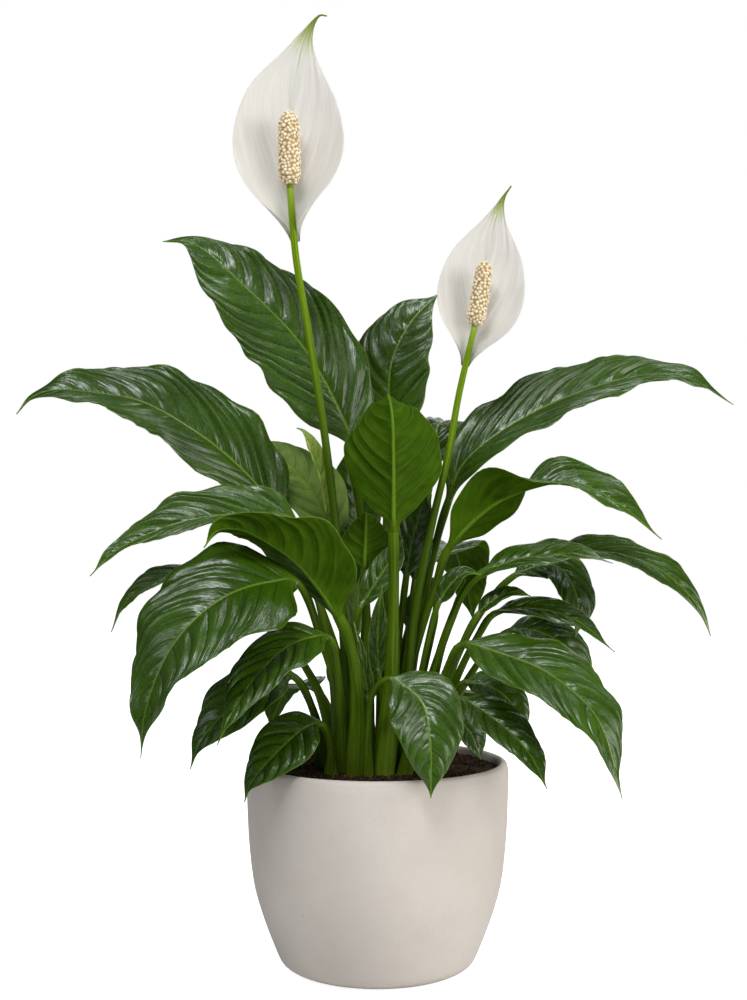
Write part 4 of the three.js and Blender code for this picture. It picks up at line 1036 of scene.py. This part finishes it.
def crumbs(material, draw, stems):
    """Loose bits of bark and earth, half sunk in the soil between the stems."""
    corners, faces = ball()
    edge = inner_radius(SOIL_EDGE) - SOIL_GAP - 2
    points, all_faces, tint = [], [], []
    while len(points) < len(corners) * CRUMBS:
        r, turn = edge * draw.random() ** 0.5, draw.uniform(0, TURN)
        x, y = r * math.cos(turn), r * math.sin(turn)
        if min(math.hypot(x - a, y - b) - w for a, b, w in stems) < CRUMB_CLEAR:
            continue
        size = CRUMB_LEAST + CRUMB_MORE * draw.random() ** 2.4
        shape = corners * [size * draw.uniform(*span) for span in CRUMB_SPANS]
        lean = Vector((*(draw.uniform(-CRUMB_LEAN, CRUMB_LEAN) for _ in "xy"), 1)).to_track_quat("Z", "Y")
        spin = Vector((math.cos(turn * 7), math.sin(turn * 7), 0)).to_track_quat("X", "Z")
        turned = [(lean @ spin) @ Vector(c * draw.uniform(*CRUMB_UNEVEN)) for c in shape]
        at = Vector((x, y, soil_height(x, y) + 0.25 * size))
        all_faces += [tuple(len(points) + i for i in f) for f in faces]
        points += [tuple(at + c) for c in turned]
        tint += [draw.random()] * len(corners)
    made = build("soil_crumbs", "soil", points, all_faces, [material], tint=np.array(tint))
    made.data.shade_flat()


# Stage


def floor():
    look = Look(bpy.data.materials.new("floor white"))
    shader = look.add("BsdfPrincipled", {
        "Base Color": (0.8, 0.8, 0.8, 1), "Roughness": 0.9,
        "Emission Color": (*WHITE, 1), "Emission Strength": look.times(look.seen(), FLOOR_GLOW),
    })
    mesh = bpy.data.meshes.new("floor")
    corners = [(x * FLOOR_HALF, y * FLOOR_HALF, 0) for x, y in ((-1, -1), (1, -1), (1, 1), (-1, 1))]
    mesh.from_pydata(corners, [], [(0, 1, 2, 3)])
    mesh.materials.append(look.finish(shader.outputs[0]))
    put("floor", mesh)


def sky():
    """A soft light from all round, which the camera sees as plain white."""
    look = Look(bpy.data.worlds.new("studio"))
    soft = look.add("Background", {"Color": (0.93, 0.96, 1, 1), "Strength": SKY_STRENGTH})
    white = look.add("Background", {"Color": (*WHITE, 1), "Strength": 1.0})
    both = look.add("MixShader", {0: look.seen(), 1: soft.outputs[0], 2: white.outputs[0]})
    bpy.context.scene.world = look.finish(both.outputs[0], "World")


def lights():
    for name, (at, size, power, colour) in LIGHTS.items():
        data = bpy.data.lights.new(name, "AREA")
        data.shape = "RECTANGLE"
        data.size, data.size_y = size
        data.energy = power
        data.color = colour
        lamp = put(name, data)
        lamp.location = at
        lamp.rotation_euler = (Vector(LIGHTS_AIM) - Vector(at)).to_track_quat("-Z", "Y").to_euler()


def camera():
    data = bpy.data.cameras.new("camera")
    data.sensor_fit = "VERTICAL"
    data.sensor_height = CAMERA_SENSOR
    data.lens = CAMERA_LENS
    made = put("camera", data)
    made.location = Vector(CAMERA_AT) * MM
    made.rotation_euler = (math.radians(90 - CAMERA_DOWN), 0, 0)
    bpy.context.scene.camera = made


def plant():
    draw = random.Random(SEED)
    stalk = stalk_look()
    green, pale_green, young_painted_light_green = (
        [leaf_look(name + " above", glossy), leaf_look(name + " below", False), stalk]
        for name, glossy in (("leaf green", True), ("pale leaf green", False), ("young leaf green", True))
    )
    for index, (name, spec) in enumerate(LEAVES.items()):
        drawn = draw.random()
        looks = young_painted_light_green if spec.young else pale_green if spec.pale else green
        leaf("leaf_" + name, spec, index, looks, drawn if spec.tone is None else spec.tone)
    scape_green, spathe_white, cream = scape_look(), spathe_look(), spadix_look()
    for name, flower in FLOWERS.items():
        scape(name, flower, scape_green)
        spathe(name, flower, spathe_white)
        spadix(name, flower, cream, draw)
    pot(pot_look())
    earth = soil_look()
    soil(earth)
    stems = [(*spec.root, spec.stem) for spec in (*LEAVES.values(), *FLOWERS.values())]
    crumbs(earth, draw, stems)


bpy.context.scene.view_settings.view_transform = "Standard"
floor()
sky()
lights()
camera()
plant()
